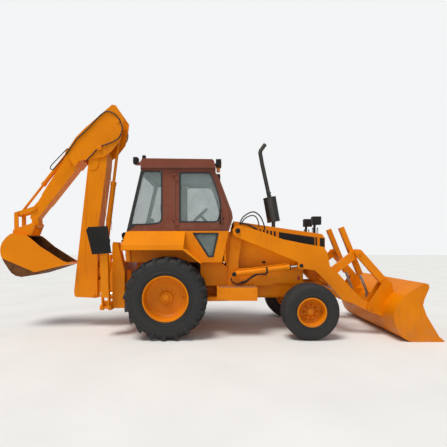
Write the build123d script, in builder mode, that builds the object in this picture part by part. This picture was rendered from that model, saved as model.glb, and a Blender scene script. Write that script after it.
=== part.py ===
"""Backhoe loader in millimetres, +X forward, +Z up, standing on the ground plane."""

from build123d import *
import math
import os

# Datum and running gear
REAR_AXLE_X = -666
WHEELBASE = 2431
REAR_TYRE_RADIUS = 700
REAR_TYRE_WIDTH = 430
REAR_TYRE_Y = 935
REAR_RIM_RADIUS = 368
FRONT_TYRE_RADIUS = 475
FRONT_TYRE_WIDTH = 350
FRONT_TYRE_Y = 965
FRONT_RIM_RADIUS = 228
RIM_WALL = 14
RUN_GAP = 0.3
MOVE_GAP = 6

REAR_LUGS = 20
REAR_LUG_HEIGHT = 34
REAR_LUG_WIDTH = 52
REAR_LUG_ANGLE = 38
FRONT_RIBS = 3
FRONT_RIB_HEIGHT = 9

KINGPIN_Y = 790
KINGPIN_BOSS_RADIUS = 58
KINGPIN_RADIUS = 24
KNUCKLE_HALF_HEIGHT = 85
SPINDLE_RADIUS = 38
HUB_RADIUS = 82
HALF_SHAFT_RADIUS = 46
REAR_HUB_RADIUS = 120
REAR_HUB_FACE_Y = 760

# Chassis
RAIL_Y = 285
RAIL_THICK = 30
RAIL_TOP = 900
RAIL_BOTTOM = 600
PLATE_INNER_Y = 395
PLATE_THICK = 20
TOWER_INNER_Y = 570
TOWER_PLATE = 22
WELL_WALL_Y = 670
EDGE_BOLT_X = 4460
EDGE_BOLT_RADIUS = 10.5
EDGE_BOLT_PITCH = 304.8
EDGE_BOLT_COUNT = 7
EXHAUST_X = 1950
EXHAUST_Y = -190
PIPE_RADIUS = 36
MUFFLER_RADIUS = 122
STACK_RADIUS = 38
GRILLE_SLOTS = 10
GRILLE_PITCH = 44
GRILLE_HALF = 330
LOUVRE_SLOTS = 5
LOUVRE_PITCH = 66
LOUVRE_WIDTH = 28
LAMP_Y = 300

# Loader linkage, seen from the side, x from the rear axle and z from the ground
ARM_PIVOT = (1225, 1846)
LIFT_BASE = (1162, 1078)
LIFT_EYE = (2349, 1230)
GUIDE_PIVOT = (2854, 1039)
LINK_APEX = (3384, 1452)
BUCKET_LINK_PIN = (3860, 913)
BUCKET_PIVOT = (3573, 482)
TILT_EYE = (3705, 660)
ARM_INNER_Y = 622
ARM_WIDTH = 116
ARM_Y = ARM_INNER_Y + ARM_WIDTH / 2
TILT_Y = 350
GUIDE_INNER_Y = 545
GUIDE_WIDTH = 66
LINK_INNER_Y = 646
LINK_WIDTH = 68
ARM_PIN_RADIUS = 34
LINK_PIN_RADIUS = 30
LIFT_BARREL_RADIUS = 47
LIFT_ROD_RADIUS = 26
LIFT_BARREL_LENGTH = 1010
TILT_BARREL_SIDE = 96
TILT_ROD_RADIUS = 24
TILT_TOP_REACH = 510
TILT_END_REACH = 440
EYE_RADIUS = 46
CROSS_TUBE = (3110, 800)
CROSS_TUBE_RADIUS = 62

# Loader bucket
BUCKET_HALF_WIDTH = 1170
BUCKET_PLATE = 24
BUCKET_SIDE = 25

# Backhoe, seen from the side
SWING_X = -1190
BOOM_FOOT = (-1530, 640)
BOOM_CYL_BASE = (-1400, 820)
BOOM_CYL_EYE = (-1560, 1700)
DIPPER_PIVOT = (-1400, 3460)
DIPPER_CYL_BASE = (-1330, 1700)
DIPPER_CYL_EYE = (-1050, 3975)
CURL_BASE = (-2060, 3460)
CURL_EYE = (-3045, 2205)
SCOOP_PIVOT = (-2700, 1990)
SCOOP_EAR = (-3040, 1880)
GUIDE_FOOT = (SCOOP_PIVOT[0] + CURL_EYE[0] - SCOOP_EAR[0], SCOOP_PIVOT[1] + CURL_EYE[1] - SCOOP_EAR[1])
GUIDE_PLATE_Y = 94
SCOOP_LINK_Y = 120
SCOOP_EAR_Y = 146
BOOM_HALF = 170
BOOM_SIDE = 24
BOOM_FOOT_RADIUS = 40
DIPPER_HALF = 105
SCOOP_HALF = 305
SWING_PIN_RADIUS = 38
SWING_ROD_Y = 215
SWING_ROD_Z = 666
SWING_ROD_RADIUS = 22
SWING_ROD_EYE_X = -1350
SWING_BARREL_END_X = -1010

# Cab
CAB_HALF = 760
CAB_WALL = 36
DOOR_GAP = 7
GLASS = 6

# Stabilizers
UPRIGHT_INNER_Y = 610
UPRIGHT_WIDTH = 190
LEG_PIVOT = (880, 520)
LEG_ANGLE = 84
LEG_X = -1120
LEG_WIDTH = 130
LEG_LENGTH = 1146
LEG_PLATE = 22
LEG_DEPTH = 100
LEG_PIN_RADIUS = 28
JACK_BASE = (660, 1390)
JACK_REACH = 300
JACK_X = LEG_X + LEG_WIDTH / 2
JACK_RADIUS = 38
JACK_ROD_RADIUS = 22
JACK_LENGTH = 545
JACK_PIN_RADIUS = 20
PAD_INNER_Y = 1050
PAD_PLATE = 36


def side(y):
    """Upright plane at lateral station y, facing the machine's right."""
    return Plane(origin=(REAR_AXLE_X, y, 0), x_dir=(1, 0, 0), z_dir=(0, -1, 0))


def plate(outline, inner, thick, mode=Mode.ADD):
    """Add a right-hand plate from its side outline, its inner face's station and thickness."""
    with BuildSketch(side(-inner)) as face:
        with BuildLine():
            Polyline(*outline, close=True)
        make_face()
    extrude(face.sketch, amount=thick, mode=mode)


def slab(outline, half, mode=Mode.ADD):
    """Add a plate centred on the machine's midline."""
    plate(outline, -half, 2 * half, mode)


def pin(centre, radius, inner, thick, mode=Mode.ADD):
    """Add a cylinder along Y on the right-hand side."""
    with BuildSketch(side(-inner)) as face:
        with Locations(centre):
            Circle(radius)
    extrude(face.sketch, amount=thick, mode=mode)


def bar(centre_a, centre_b, width, inner, thick, mode=Mode.ADD):
    """Add a link with rounded ends between two side points."""
    with BuildSketch(side(-inner)) as face:
        with BuildLine():
            Line(centre_a, centre_b)
        trace(line_width=width)
        with Locations(centre_a, centre_b):
            Circle(width / 2)
    extrude(face.sketch, amount=thick, mode=mode)


def block(x_range, y_range, z_range, mode=Mode.ADD):
    """Add a box from its ranges, x from the rear axle."""
    x0, x1 = x_range
    y0, y1 = y_range
    z0, z1 = z_range
    with Locations((REAR_AXLE_X + (x0 + x1) / 2, (y0 + y1) / 2, (z0 + z1) / 2)):
        Box(x1 - x0, y1 - y0, z1 - z0, mode=mode)


def across(profile, x0, x1, mode=Mode.ADD):
    """Add a prism along X from an outline of (y, z) points."""
    with BuildSketch(Plane(origin=(REAR_AXLE_X + x0, 0, 0), x_dir=(0, 1, 0), z_dir=(1, 0, 0))) as face:
        with BuildLine():
            Polyline(*profile, close=True)
        make_face()
    extrude(face.sketch, amount=x1 - x0, mode=mode)


def span(a, b):
    """Distance between two side points."""
    return math.hypot(b[0] - a[0], b[1] - a[1])


def toward(a, b, reach):
    """Side point at a distance from a on the way to b."""
    share = reach / span(a, b)
    return (a[0] + share * (b[0] - a[0]), a[1] + share * (b[1] - a[1]))


def shaft(a, b, y, radius, start, end, mode=Mode.ADD):
    """Add a round bar along the line from a to b, between two distances from a."""
    p = toward(a, b, start)
    heading = (b[0] - a[0], 0, b[1] - a[1])
    with BuildSketch(Plane(origin=(REAR_AXLE_X + p[0], y, p[1]), x_dir=(0, 1, 0), z_dir=heading)) as face:
        Circle(radius)
    extrude(face.sketch, amount=end - start, mode=mode)


def barrel(base, eye, y, radius, rod_radius, length, pin_radius, eye_width):
    """Add a cylinder barrel: a base eye, the tube with its bore, and a gland ring."""
    head = eye_width / 2
    shaft(base, eye, y, radius, EYE_RADIUS * 0.6, length)
    shaft(base, eye, y, radius + 7, length - 70, length)
    pin(base, EYE_RADIUS, -y - head, eye_width)
    shaft(base, eye, y, rod_radius + RUN_GAP, EYE_RADIUS + 30, length, Mode.SUBTRACT)
    pin(base, pin_radius + RUN_GAP, -y - eye_width, 2 * eye_width, Mode.SUBTRACT)


def rod(base, eye, y, radius, inside, eye_width):
    """Add a rod that starts inside its barrel and ends in an eye with its own pin."""
    shaft(base, eye, y, radius, inside, span(base, eye))
    pin(eye, EYE_RADIUS, -y - eye_width / 2, eye_width)


def lateral(y, z, radius, x0, x1, mode=Mode.ADD):
    """Add a cylinder along X at a cross-section point, x from the rear axle."""
    with BuildSketch(Plane(origin=(REAR_AXLE_X + x0, y, z), x_dir=(0, 1, 0), z_dir=(1, 0, 0))) as face:
        Circle(radius)
    extrude(face.sketch, amount=x1 - x0, mode=mode)


def jack_shaft(radius, start, end, mode=Mode.ADD):
    """Add a round bar on a stabilizer cylinder's line, right-hand side."""
    p = toward(JACK_BASE, JACK_EYE, start)
    heading = (0, -(JACK_EYE[0] - JACK_BASE[0]), JACK_EYE[1] - JACK_BASE[1])
    with BuildSketch(Plane(origin=(REAR_AXLE_X + JACK_X, -p[0], p[1]), x_dir=(1, 0, 0), z_dir=heading)) as face:
        Circle(radius)
    extrude(face.sketch, amount=end - start, mode=mode)


def both_sides():
    """Add the left-hand twin of what stands in the part."""
    mirror(about=Plane.XZ)


def wheel_profile(station, points):
    """Sketch plane through a wheel's axis: x is the radius, y the way along the axle."""
    axle_x, y, z = station
    with BuildSketch(Plane(origin=(axle_x, y, z), x_dir=(1, 0, 0), z_dir=(0, 0, 1))) as face:
        with BuildLine():
            Polyline(*points, close=True)
        make_face()
    return face.sketch


def spin(station, points, mode=Mode.ADD):
    """Revolve an outline of (radius, offset) points about a wheel's axis."""
    revolve(wheel_profile(station, points), axis=Axis(station, (0, 1, 0)), mode=mode)


def wheel_plane(station):
    """Plane square to a wheel's axis, its normal to the machine's right."""
    return Plane(origin=station, x_dir=(1, 0, 0), z_dir=(0, -1, 0))


def save(piece, name):
    """Label a finished piece and write its file."""
    piece.label = name
    export_step(piece, f"parts/{name}.step")


os.makedirs("parts", exist_ok=True)
LEG_WAY = (math.cos(math.radians(LEG_ANGLE)), math.sin(math.radians(LEG_ANGLE)))
LEG_END = (LEG_PIVOT[0] + LEG_LENGTH * LEG_WAY[0], LEG_PIVOT[1] + LEG_LENGTH * LEG_WAY[1])
JACK_EYE = (LEG_PIVOT[0] + JACK_REACH * LEG_WAY[0], LEG_PIVOT[1] + JACK_REACH * LEG_WAY[1])
FRONT_AXLE_X = REAR_AXLE_X + WHEELBASE
SIDES = (("right", -1), ("left", 1))


# Wheels

def tyre(station, width, bead, carcass_radius):
    """Build a bare tyre: tread, shoulders, bulged walls and the bead seat."""
    half = width / 2
    wall = 22
    shape = (
        (bead, half * 0.74), (bead + 30, half * 0.92), ((bead + carcass_radius) / 2, half),
        (carcass_radius - 60, half * 0.97), (carcass_radius - 8, half * 0.80),
        (carcass_radius, half * 0.4),
    )
    outer = shape + tuple((r, -w) for r, w in reversed(shape))
    hollow = (
        (bead - 1, half * 0.74 - wall), (bead + 50, half * 0.92 - wall),
        (carcass_radius - 60, half * 0.90 - wall), (carcass_radius - 45, half * 0.4),
    )
    inner = hollow + tuple((r, -w) for r, w in reversed(hollow))
    with BuildPart() as body:
        spin(station, outer)
        spin(station, inner, Mode.SUBTRACT)
    return body.part


def rear_tyre(sign):
    """Build a rear tyre with its slanted bars, joined to the casing at both shoulders."""
    station = (REAR_AXLE_X, sign * REAR_TYRE_Y, REAR_TYRE_RADIUS)
    carcass = REAR_TYRE_RADIUS - REAR_LUG_HEIGHT
    casing = tyre(station, REAR_TYRE_WIDTH, REAR_RIM_RADIUS, carcass)
    half = REAR_TYRE_WIDTH / 2
    width = REAR_LUG_WIDTH / 2
    reach = half * math.tan(math.radians(REAR_LUG_ANGLE)) / 2
    top = math.sqrt(REAR_TYRE_RADIUS ** 2 - (reach + width) ** 2)
    turn = reach / carcass
    outward = (math.cos(turn), math.sin(turn), 0)
    around = (-math.sin(turn), math.cos(turn), 0)
    with BuildPart() as lug:
        with BuildSketch(Plane(origin=(carcass - 30, 0, 0), x_dir=(0, 1, 0), z_dir=(1, 0, 0))):
            with BuildLine():
                Polyline(
                    (-reach - width, 12), (-reach + width, 12), (reach + width, -half * 0.97),
                    (reach - width, -half * 0.97), close=True,
                )
            make_face()
        extrude(amount=top - carcass + 30)
        with BuildSketch(Plane(origin=(0, 0, 0), x_dir=outward, z_dir=around)):
            with BuildLine():
                Polyline(
                    (carcass - 104, half * 0.95), (carcass - 84, half), (carcass - 6, half * 0.99),
                    (top + 4, half * 0.95), (top + 4, half * 0.72), (carcass - 50, half * 0.72), close=True,
                )
            make_face()
        extrude(amount=width, both=True)
    with BuildPart(wheel_plane(station)) as bars:
        flip = mirror(lug.part, about=Plane.XY, mode=Mode.PRIVATE)
        with PolarLocations(0, REAR_LUGS):
            add(lug.part)
        with PolarLocations(0, REAR_LUGS, start_angle=180 / REAR_LUGS):
            add(flip)
    with BuildPart() as whole:
        add(casing)
        add(bars.part)
    return whole.part


def front_tyre(sign):
    """Build a front tyre with plain ribs around its tread."""
    station = (FRONT_AXLE_X, sign * FRONT_TYRE_Y, FRONT_TYRE_RADIUS)
    carcass = FRONT_TYRE_RADIUS - FRONT_RIB_HEIGHT
    casing = tyre(station, FRONT_TYRE_WIDTH, FRONT_RIM_RADIUS, carcass)
    pitch = FRONT_TYRE_WIDTH * 0.7 / FRONT_RIBS
    with BuildPart() as body:
        add(casing)
        for rib in range(FRONT_RIBS):
            middle = (rib - (FRONT_RIBS - 1) / 2) * pitch
            low = carcass - 12
            spin(station, (
                (low, middle - pitch * 0.38), (FRONT_TYRE_RADIUS, middle - pitch * 0.28),
                (FRONT_TYRE_RADIUS, middle + pitch * 0.28), (low, middle + pitch * 0.38),
            ))
    return body.part


def rim(station, sign, radius, width, disc_offset, hub_radius, bore, hub_depth):
    """Build a wheel: the rim barrel with its flanges, a dished disc and the hub boss."""
    out = sign
    half = width * 0.43
    lip = 18
    seat = radius - RUN_GAP
    barrel_shape = (
        (seat + lip, half + 4), (seat + lip, half + 14), (seat - 6, half + 14), (seat - RIM_WALL, half - 30),
        (seat - RIM_WALL - 16, half * 0.3), (seat - RIM_WALL - 16, -half * 0.3), (seat - RIM_WALL, -half + 30),
        (seat - 6, -half - 14), (seat + lip, -half - 14), (seat + lip, -half - 4), (seat, -half - 4),
        (seat, half + 4),
    )
    disc_edge = seat - RIM_WALL - 20
    face = disc_offset
    disc_shape = (
        (bore, face), (hub_radius, face), (hub_radius + 26, face - 38), (disc_edge - 46, face - 46),
        (disc_edge, face - 16), (disc_edge + 8, face - 16), (disc_edge + 8, face - 30), (disc_edge - 40, face - 64),
        (hub_radius + 30, face - 56), (hub_radius, face - hub_depth), (bore, face - hub_depth),
    )
    with BuildPart() as body:
        spin(station, tuple((r, out * w) for r, w in barrel_shape))
        spin(station, tuple((r, out * w) for r, w in disc_shape))
    return body.part


def rear_rim(sign):
    """Build a rear wheel, bolted to the axle flange, with a domed cap on the hub."""
    station = (REAR_AXLE_X, sign * REAR_TYRE_Y, REAR_TYRE_RADIUS)
    shell = rim(station, sign, REAR_RIM_RADIUS, REAR_TYRE_WIDTH, 70, 96, 0, 96)
    with BuildPart() as body:
        add(shell)
        spin(station, tuple((r, sign * w) for r, w in ((0, 60), (62, 60), (58, 96), (40, 112), (0, 116))))
        stub = REAR_TYRE_Y - REAR_HUB_FACE_Y - RUN_GAP
        spin(station, tuple((r, sign * w) for r, w in ((0, 0), (84, 0), (84, -stub), (0, -stub))))
    return body.part


def front_rim(sign):
    """Build a front wheel with its hub turning on the knuckle's spindle."""
    station = (FRONT_AXLE_X, sign * FRONT_TYRE_Y, FRONT_TYRE_RADIUS)
    bore = SPINDLE_RADIUS + RUN_GAP
    shell = rim(station, sign, FRONT_RIM_RADIUS, FRONT_TYRE_WIDTH, 36, 84, bore, 115)
    with BuildPart() as body:
        add(shell)
        cap = ((0, 46), (bore, 46), (bore, 30), (62, 30), (58, 58), (46, 70), (0, 74))
        spin(station, tuple((r, sign * w) for r, w in cap))
    return body.part


for name, sign in SIDES:
    save(rear_tyre(sign), f"rear_tyre_{name}")
    save(rear_rim(sign), f"rear_rim_{name}")
    save(front_tyre(sign), f"front_tyre_{name}")
    save(front_rim(sign), f"front_rim_{name}")

# Axles

with BuildPart() as rear_axle:
    station = (REAR_AXLE_X, 0, REAR_TYRE_RADIUS)
    half_housing = (
        (0, 0), (215, 0), (215, 120), (160, 190), (112, 260), (92, 420), (92, 640), (130, 655),
        (130, 720), (REAR_HUB_RADIUS, REAR_HUB_FACE_Y), (0, REAR_HUB_FACE_Y),
    )
    spin(station, half_housing)
    spin(station, tuple((r, -w) for r, w in half_housing))
    block((150, 560 - RUN_GAP), (-150, 150), (560, 860))
    for y in (-RAIL_Y, RAIL_Y - RAIL_THICK):
        block((-60, 60), (y, y + RAIL_THICK), (REAR_TYRE_RADIUS, 830 - RUN_GAP))
save(rear_axle.part, "rear_axle")

with BuildPart() as front_axle:
    beam = (
        (-KINGPIN_Y + 15, 430), (-KINGPIN_Y + 15, 520), (-KINGPIN_Y + 75, 535), (-170, 565), (0, 580),
        (170, 565), (KINGPIN_Y - 75, 535), (KINGPIN_Y - 15, 520), (KINGPIN_Y - 15, 430),
        (KINGPIN_Y - 75, 426), (160, 440), (-160, 440), (-KINGPIN_Y + 75, 426),
    )
    across(beam, WHEELBASE - 65, WHEELBASE + 65)
    for y in (-KINGPIN_Y, KINGPIN_Y):
        with Locations((FRONT_AXLE_X, y, FRONT_TYRE_RADIUS)):
            Cylinder(KINGPIN_RADIUS, 2 * KNUCKLE_HALF_HEIGHT + 40)
            Cylinder(KINGPIN_BOSS_RADIUS, 90)
    with BuildSketch(Plane(origin=(FRONT_AXLE_X - 170, 0, 530), x_dir=(0, 1, 0), z_dir=(1, 0, 0))):
        Circle(32)
    extrude(amount=340)
save(front_axle.part, "front_axle")


def knuckle(sign):
    """Build a steering knuckle: a fork round the axle's end, the spindle and the steering arm."""
    station = (FRONT_AXLE_X, sign * FRONT_TYRE_Y, FRONT_TYRE_RADIUS)
    y = sign * KINGPIN_Y
    with BuildPart() as body:
        for z in (-1, 1):
            with Locations((FRONT_AXLE_X, y, FRONT_TYRE_RADIUS + z * (KNUCKLE_HALF_HEIGHT - 11))):
                Cylinder(52, 26)
            low, high = sorted((y, y + sign * 92))
            z0 = FRONT_TYRE_RADIUS + z * (KNUCKLE_HALF_HEIGHT - 11)
            block((WHEELBASE - 45, WHEELBASE + 45), (low, high), (z0 - 13, z0 + 13))
        low, high = sorted((y + sign * 66, y + sign * 92))
        block((WHEELBASE - 45, WHEELBASE + 45), (low, high), (FRONT_TYRE_RADIUS - 87, FRONT_TYRE_RADIUS + 87))
        inner = FRONT_TYRE_Y - KINGPIN_Y - 80
        spin(station, ((0, -sign * inner), (SPINDLE_RADIUS, -sign * inner), (SPINDLE_RADIUS, sign * 30), (0, sign * 30)))
        low, high = sorted((y - sign * 60, y + sign * 10))
        block((WHEELBASE - 190, WHEELBASE - 30), (low, high), (FRONT_TYRE_RADIUS - 87, FRONT_TYRE_RADIUS - 61))
        with Locations((FRONT_AXLE_X, y, FRONT_TYRE_RADIUS)):
            Cylinder(KINGPIN_RADIUS + RUN_GAP, 2 * KNUCKLE_HALF_HEIGHT + 60, mode=Mode.SUBTRACT)
    return body.part


for name, sign in SIDES:
    save(knuckle(sign), f"knuckle_{name}")

# Frames, engine, hood and exhaust

with BuildPart() as main_frame:
    rail = (
        (-760 + RUN_GAP, 640), (-230, 640), (-170, 830), (170, 830), (230, RAIL_BOTTOM), (2560, RAIL_BOTTOM),
        (2850, 700), (2850, RAIL_TOP), (-760 + RUN_GAP, RAIL_TOP),
    )
    plate(rail, RAIL_Y - RAIL_THICK, RAIL_THICK)
    side_plate = (
        (1060, 650), (2180, 650), (2330, 750), (2425, RAIL_TOP), (2425, 1178), (1060, 1178),
    )
    plate(side_plate, PLATE_INNER_Y, PLATE_THICK)
    tower = (
        (1060, 650), (1060, 1180), (1100, 1690), (1155, 1840), (1160, 1990), (1240, 2000), (1320, 1900),
        (1325, 1800), (1245, 1300), (1245, 650),
    )
    plate(tower, TOWER_INNER_Y, TOWER_PLATE)
    skirt = (
        (560, 860), (560, 1284), (930, 1284), (1060, 1180), (2180, 1178), (2310, 1290), (2425, 1178), (2425, 905),
        (1900, 905), (1860, 860),
    )
    plate(skirt, TOWER_INNER_Y - 20, 20)
    plate(((1060, 650), (1245, 650), (1245, 980), (1060, 980)), RAIL_Y - 1, TOWER_INNER_Y - RAIL_Y + 2)
    plate(((2180, 700), (2230, 700), (2230, 860), (2180, 860)), RAIL_Y - 1, PLATE_INNER_Y + 2 - RAIL_Y)
    pin(ARM_PIVOT, ARM_PIN_RADIUS, TOWER_INNER_Y - 8, ARM_INNER_Y + ARM_WIDTH + 18 - TOWER_INNER_Y)
    pin(LIFT_BASE, LINK_PIN_RADIUS, TOWER_INNER_Y - 8, ARM_INNER_Y + ARM_WIDTH - TOWER_INNER_Y)
    for centre, out in ((ARM_PIVOT, ARM_INNER_Y + ARM_WIDTH + 9), (LIFT_BASE, ARM_INNER_Y + ARM_WIDTH - 9)):
        pin(centre, 44, out, 12)
    step = (
        (857, 656), (1058, 656), (1058, 640), (1548, 640), (1548, 861), (857, 861),
    )
    plate(step, TOWER_INNER_Y + TOWER_PLATE - 1, 950 - TOWER_INNER_Y - TOWER_PLATE)
    plate(((660, 583), (1583, 601), (1583, 651), (640, 655)), RAIL_Y - 1, 350)
    both_sides()
    for x0, x1, z0, z1 in ((560, 640, 620, 800), (1300, 1380, 610, 690), (2760, 2850, 720, 880)):
        block((x0, x1), (-RAIL_Y + 1, RAIL_Y - 1), (z0, z1))
    for x0 in (WHEELBASE - 110, WHEELBASE + 80):
        block((x0, x0 + 30), (-RAIL_Y + 1, RAIL_Y - 1), (470, 660))
    with BuildSketch(Plane(origin=(FRONT_AXLE_X - 200, 0, 530), x_dir=(0, 1, 0), z_dir=(1, 0, 0))):
        Circle(32 + RUN_GAP)
    extrude(amount=400, mode=Mode.SUBTRACT)
save(main_frame.part, "main_frame")

ENGINE_HALF = RAIL_Y - RAIL_THICK - RUN_GAP
with BuildPart() as engine:
    block((1420, 2240), (-230, 230), (700, 1380))
    block((1500, 1600), (-ENGINE_HALF, ENGINE_HALF), (760, 860))
    block((2100, 2200), (-ENGINE_HALF, ENGINE_HALF), (760, 860))
save(engine.part, "engine")

HOOD_HALF = 420
HOOD_SKIN = 20
with BuildPart() as hood:
    hood_side = (
        (1170, 1178 + RUN_GAP), (1170, 2040), (1288, 2025), (2815, 1802), (2871, 1728), (2871, 1178 + RUN_GAP),
    )
    slab(hood_side, HOOD_HALF)
    inner_side = (
        (1150, 1100), (1150, 2018), (1288, 2003), (2803, 1782), (2851, 1716), (2851, 1100),
    )
    slab(inner_side, HOOD_HALF - HOOD_SKIN, Mode.SUBTRACT)
    with Locations((REAR_AXLE_X + EXHAUST_X, EXHAUST_Y, 1900)):
        Cylinder(PIPE_RADIUS + RUN_GAP, 300, mode=Mode.SUBTRACT)
    for row in range(GRILLE_SLOTS):
        low = 1232 + row * GRILLE_PITCH
        block((2840, 2880), (-GRILLE_HALF, GRILLE_HALF), (low, low + GRILLE_PITCH / 2), Mode.SUBTRACT)
    for row in range(LOUVRE_SLOTS):
        start = 1654 + row * LOUVRE_PITCH
        top = 1893 - 0.146 * row * LOUVRE_PITCH
        slab((
            (start, top), (start + LOUVRE_WIDTH, top - 4), (start + LOUVRE_WIDTH, top - 126), (start, top - 122),
        ), HOOD_HALF + 5, Mode.SUBTRACT)
    for y in (-LAMP_Y, LAMP_Y):
        block((2695, 2725), (y - 15, y + 15), (1790, 1990))
        block((2665, 2815), (y - 70, y + 70), (1983, 2133))
save(hood.part, "hood")

with BuildPart() as exhaust:
    muffler_foot, muffler_top = (EXHAUST_X + 5, 2045), (1873, 2514)
    shaft(muffler_foot, muffler_top, EXHAUST_Y, MUFFLER_RADIUS, 0, span(muffler_foot, muffler_top))
    with BuildSketch(Plane.XY.offset(1380 + RUN_GAP)):
        with Locations((REAR_AXLE_X + EXHAUST_X, EXHAUST_Y)):
            Circle(PIPE_RADIUS)
    extrude(amount=700)
    with BuildLine() as stack:
        FilletPolyline(
            (REAR_AXLE_X + 1876, EXHAUST_Y, 2494), (REAR_AXLE_X + 1728, EXHAUST_Y, 3180),
            (REAR_AXLE_X + 1690, EXHAUST_Y, 3400), (REAR_AXLE_X + 1790, EXHAUST_Y, 3540), radius=90,
        )
    with BuildSketch(Plane(origin=stack.line @ 0, z_dir=stack.line % 0)):
        Circle(STACK_RADIUS)
    sweep(path=stack.line)
save(exhaust.part, "exhaust")

with BuildPart() as backhoe_frame:
    upright = ((-970, 490), (-760, 490), (-760, 1120), (-880, 1640), (-960, 1650), (-975, 1600))
    plate(upright, UPRIGHT_INNER_Y, UPRIGHT_WIDTH)
    both_sides()
    block((-970, -760), (-UPRIGHT_INNER_Y - 1, UPRIGHT_INNER_Y + 1), (490, 760))
    block((-960, -790), (-UPRIGHT_INNER_Y - 1, UPRIGHT_INNER_Y + 1), (1130, 1290))
    block((-900, -800), (-150, 150), (759, 1131))
    for z0 in (540, 1210):
        block((-1190, -960), (-90, 90), (z0, z0 + 50))
        with Locations((REAR_AXLE_X + SWING_X, 0, z0 + 25)):
            Cylinder(90, 50)
    with Locations((REAR_AXLE_X + SWING_X, 0, 900)):
        Cylinder(SWING_PIN_RADIUS, 740)
    for y in (-SWING_ROD_Y, SWING_ROD_Y):
        with BuildSketch(Plane(origin=(REAR_AXLE_X + SWING_BARREL_END_X, y, SWING_ROD_Z), x_dir=(0, 1, 0), z_dir=(1, 0, 0))):
            Circle(44)
        extrude(amount=100)
        with BuildSketch(Plane(origin=(REAR_AXLE_X + SWING_BARREL_END_X - 1, y, SWING_ROD_Z), x_dir=(0, 1, 0), z_dir=(1, 0, 0))):
            Circle(SWING_ROD_RADIUS + RUN_GAP)
        extrude(amount=400, mode=Mode.SUBTRACT)
    leg_y, leg_z = LEG_PIVOT
    rear_ear, front_ear = LEG_X - 32, LEG_X + LEG_WIDTH + 6
    for sign in (-1, 1):
        low, high = sorted((sign * 640, sign * 760))
        block((rear_ear, -969), (low, high), (490, 600))
        for x0, x1 in ((rear_ear, LEG_X - MOVE_GAP), (front_ear, -968)):
            low, high = sorted((sign * 640, sign * leg_y))
            block((x0, x1), (low, high), (leg_z - 50, leg_z + 50))
            lateral(sign * leg_y, leg_z, 50, x0, x1)
        lateral(sign * leg_y, leg_z, LEG_PIN_RADIUS, rear_ear - 10, -960)
        for x0 in (JACK_X - 64, JACK_X + 42):
            low, high = sorted((sign * (JACK_BASE[0] - 40), sign * (JACK_BASE[0] + 40)))
            block((x0, x0 + 22), (low, high), (JACK_BASE[1] - 40, JACK_BASE[1] + 40))
        block((JACK_X + 63, -960), (low, high), (JACK_BASE[1] - 40, JACK_BASE[1] + 40))
        block((JACK_X - 64, -960), (low, high), (JACK_BASE[1] + 56, JACK_BASE[1] + 80))
        block((JACK_X - 64, JACK_X - 42), (low, high), (JACK_BASE[1], JACK_BASE[1] + 80))
        lateral(sign * JACK_BASE[0], JACK_BASE[1], JACK_PIN_RADIUS, JACK_X - 72, JACK_X + 66)
save(backhoe_frame.part, "backhoe_frame")

# Cab and lower cab

SHELL_LINE = (
    (-763, 1722), (-481, 2930), (805, 2930), (911, 2740), (1122, 2177), (1138, 2070), (1070, 1843),
    (-675, 1843),
)
DOOR_REAR = 127
DOOR_LINE = (
    (DOOR_REAR, 1860), (DOOR_REAR, 2900), (770, 2900), (868, 2720), (1075, 2170), (1090, 2075), (1030, 1860),
)
DOOR_WINDOW = ((190, 1992), (190, 2880), (740, 2880), (820, 2720), (925, 2388), (940, 2200), (880, 1992))
LOWER_WINDOW = ((424, 1812), (892, 1812), (795, 1380), (700, 1380))
REAR_SIDE_WINDOW = ((-103, 2040), (-103, 2905), (-455, 2905), (-680, 1940), (-330, 1950), (-150, 1975))

with BuildPart() as cab_shell:
    slab(SHELL_LINE, CAB_HALF)
    slab((
        (-718, 1700), (-445, 2960), (780, 2960), (878, 2730), (1083, 2172), (1100, 2070), (1030, 1700),
    ), CAB_HALF - CAB_WALL, Mode.SUBTRACT)
    slab(DOOR_LINE, CAB_HALF + 5, Mode.SUBTRACT)
    slab(REAR_SIDE_WINDOW, CAB_HALF + 5, Mode.SUBTRACT)
    across(((-660, 1935), (660, 1935), (660, 2880), (-660, 2880)), -900, -300, Mode.SUBTRACT)
    across(((-680, 2110), (680, 2110), (680, 2880), (-680, 2880)), 700, 1300, Mode.SUBTRACT)
    for y, inner in ((-CAB_HALF - 16, -CAB_HALF - 24), (CAB_HALF + 16, CAB_HALF - 1)):
        for z in (1990, 2770):
            with Locations((REAR_AXLE_X + DOOR_REAR + 4, y, z + 45 + RUN_GAP + 20)):
                Cylinder(11, 40)
            block((DOOR_REAR - 60, DOOR_REAR + 4), (inner, inner + 25), (z + 45 + RUN_GAP, z + 85 + RUN_GAP))
save(cab_shell.part, "cab_shell")

with BuildPart() as cab_roof:
    slab(((-485, 2930.3), (-463, 3100), (-420, 3115), (770, 3100), (800, 3080), (835, 2945), (830, 2930.3)), 800)
    for y in (-620, 620):
        block((-610, -462), (y - 45, y + 45), (3040, 3080))
        with Locations((REAR_AXLE_X - 600, y, 3110)):
            Box(70, 130, 110)
        block((800, 860), (y - 45, y + 45), (3020, 3060))
        with Locations((REAR_AXLE_X + 890, y, 3060)):
            Box(90, 150, 130)
save(cab_roof.part, "cab_roof")

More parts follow.
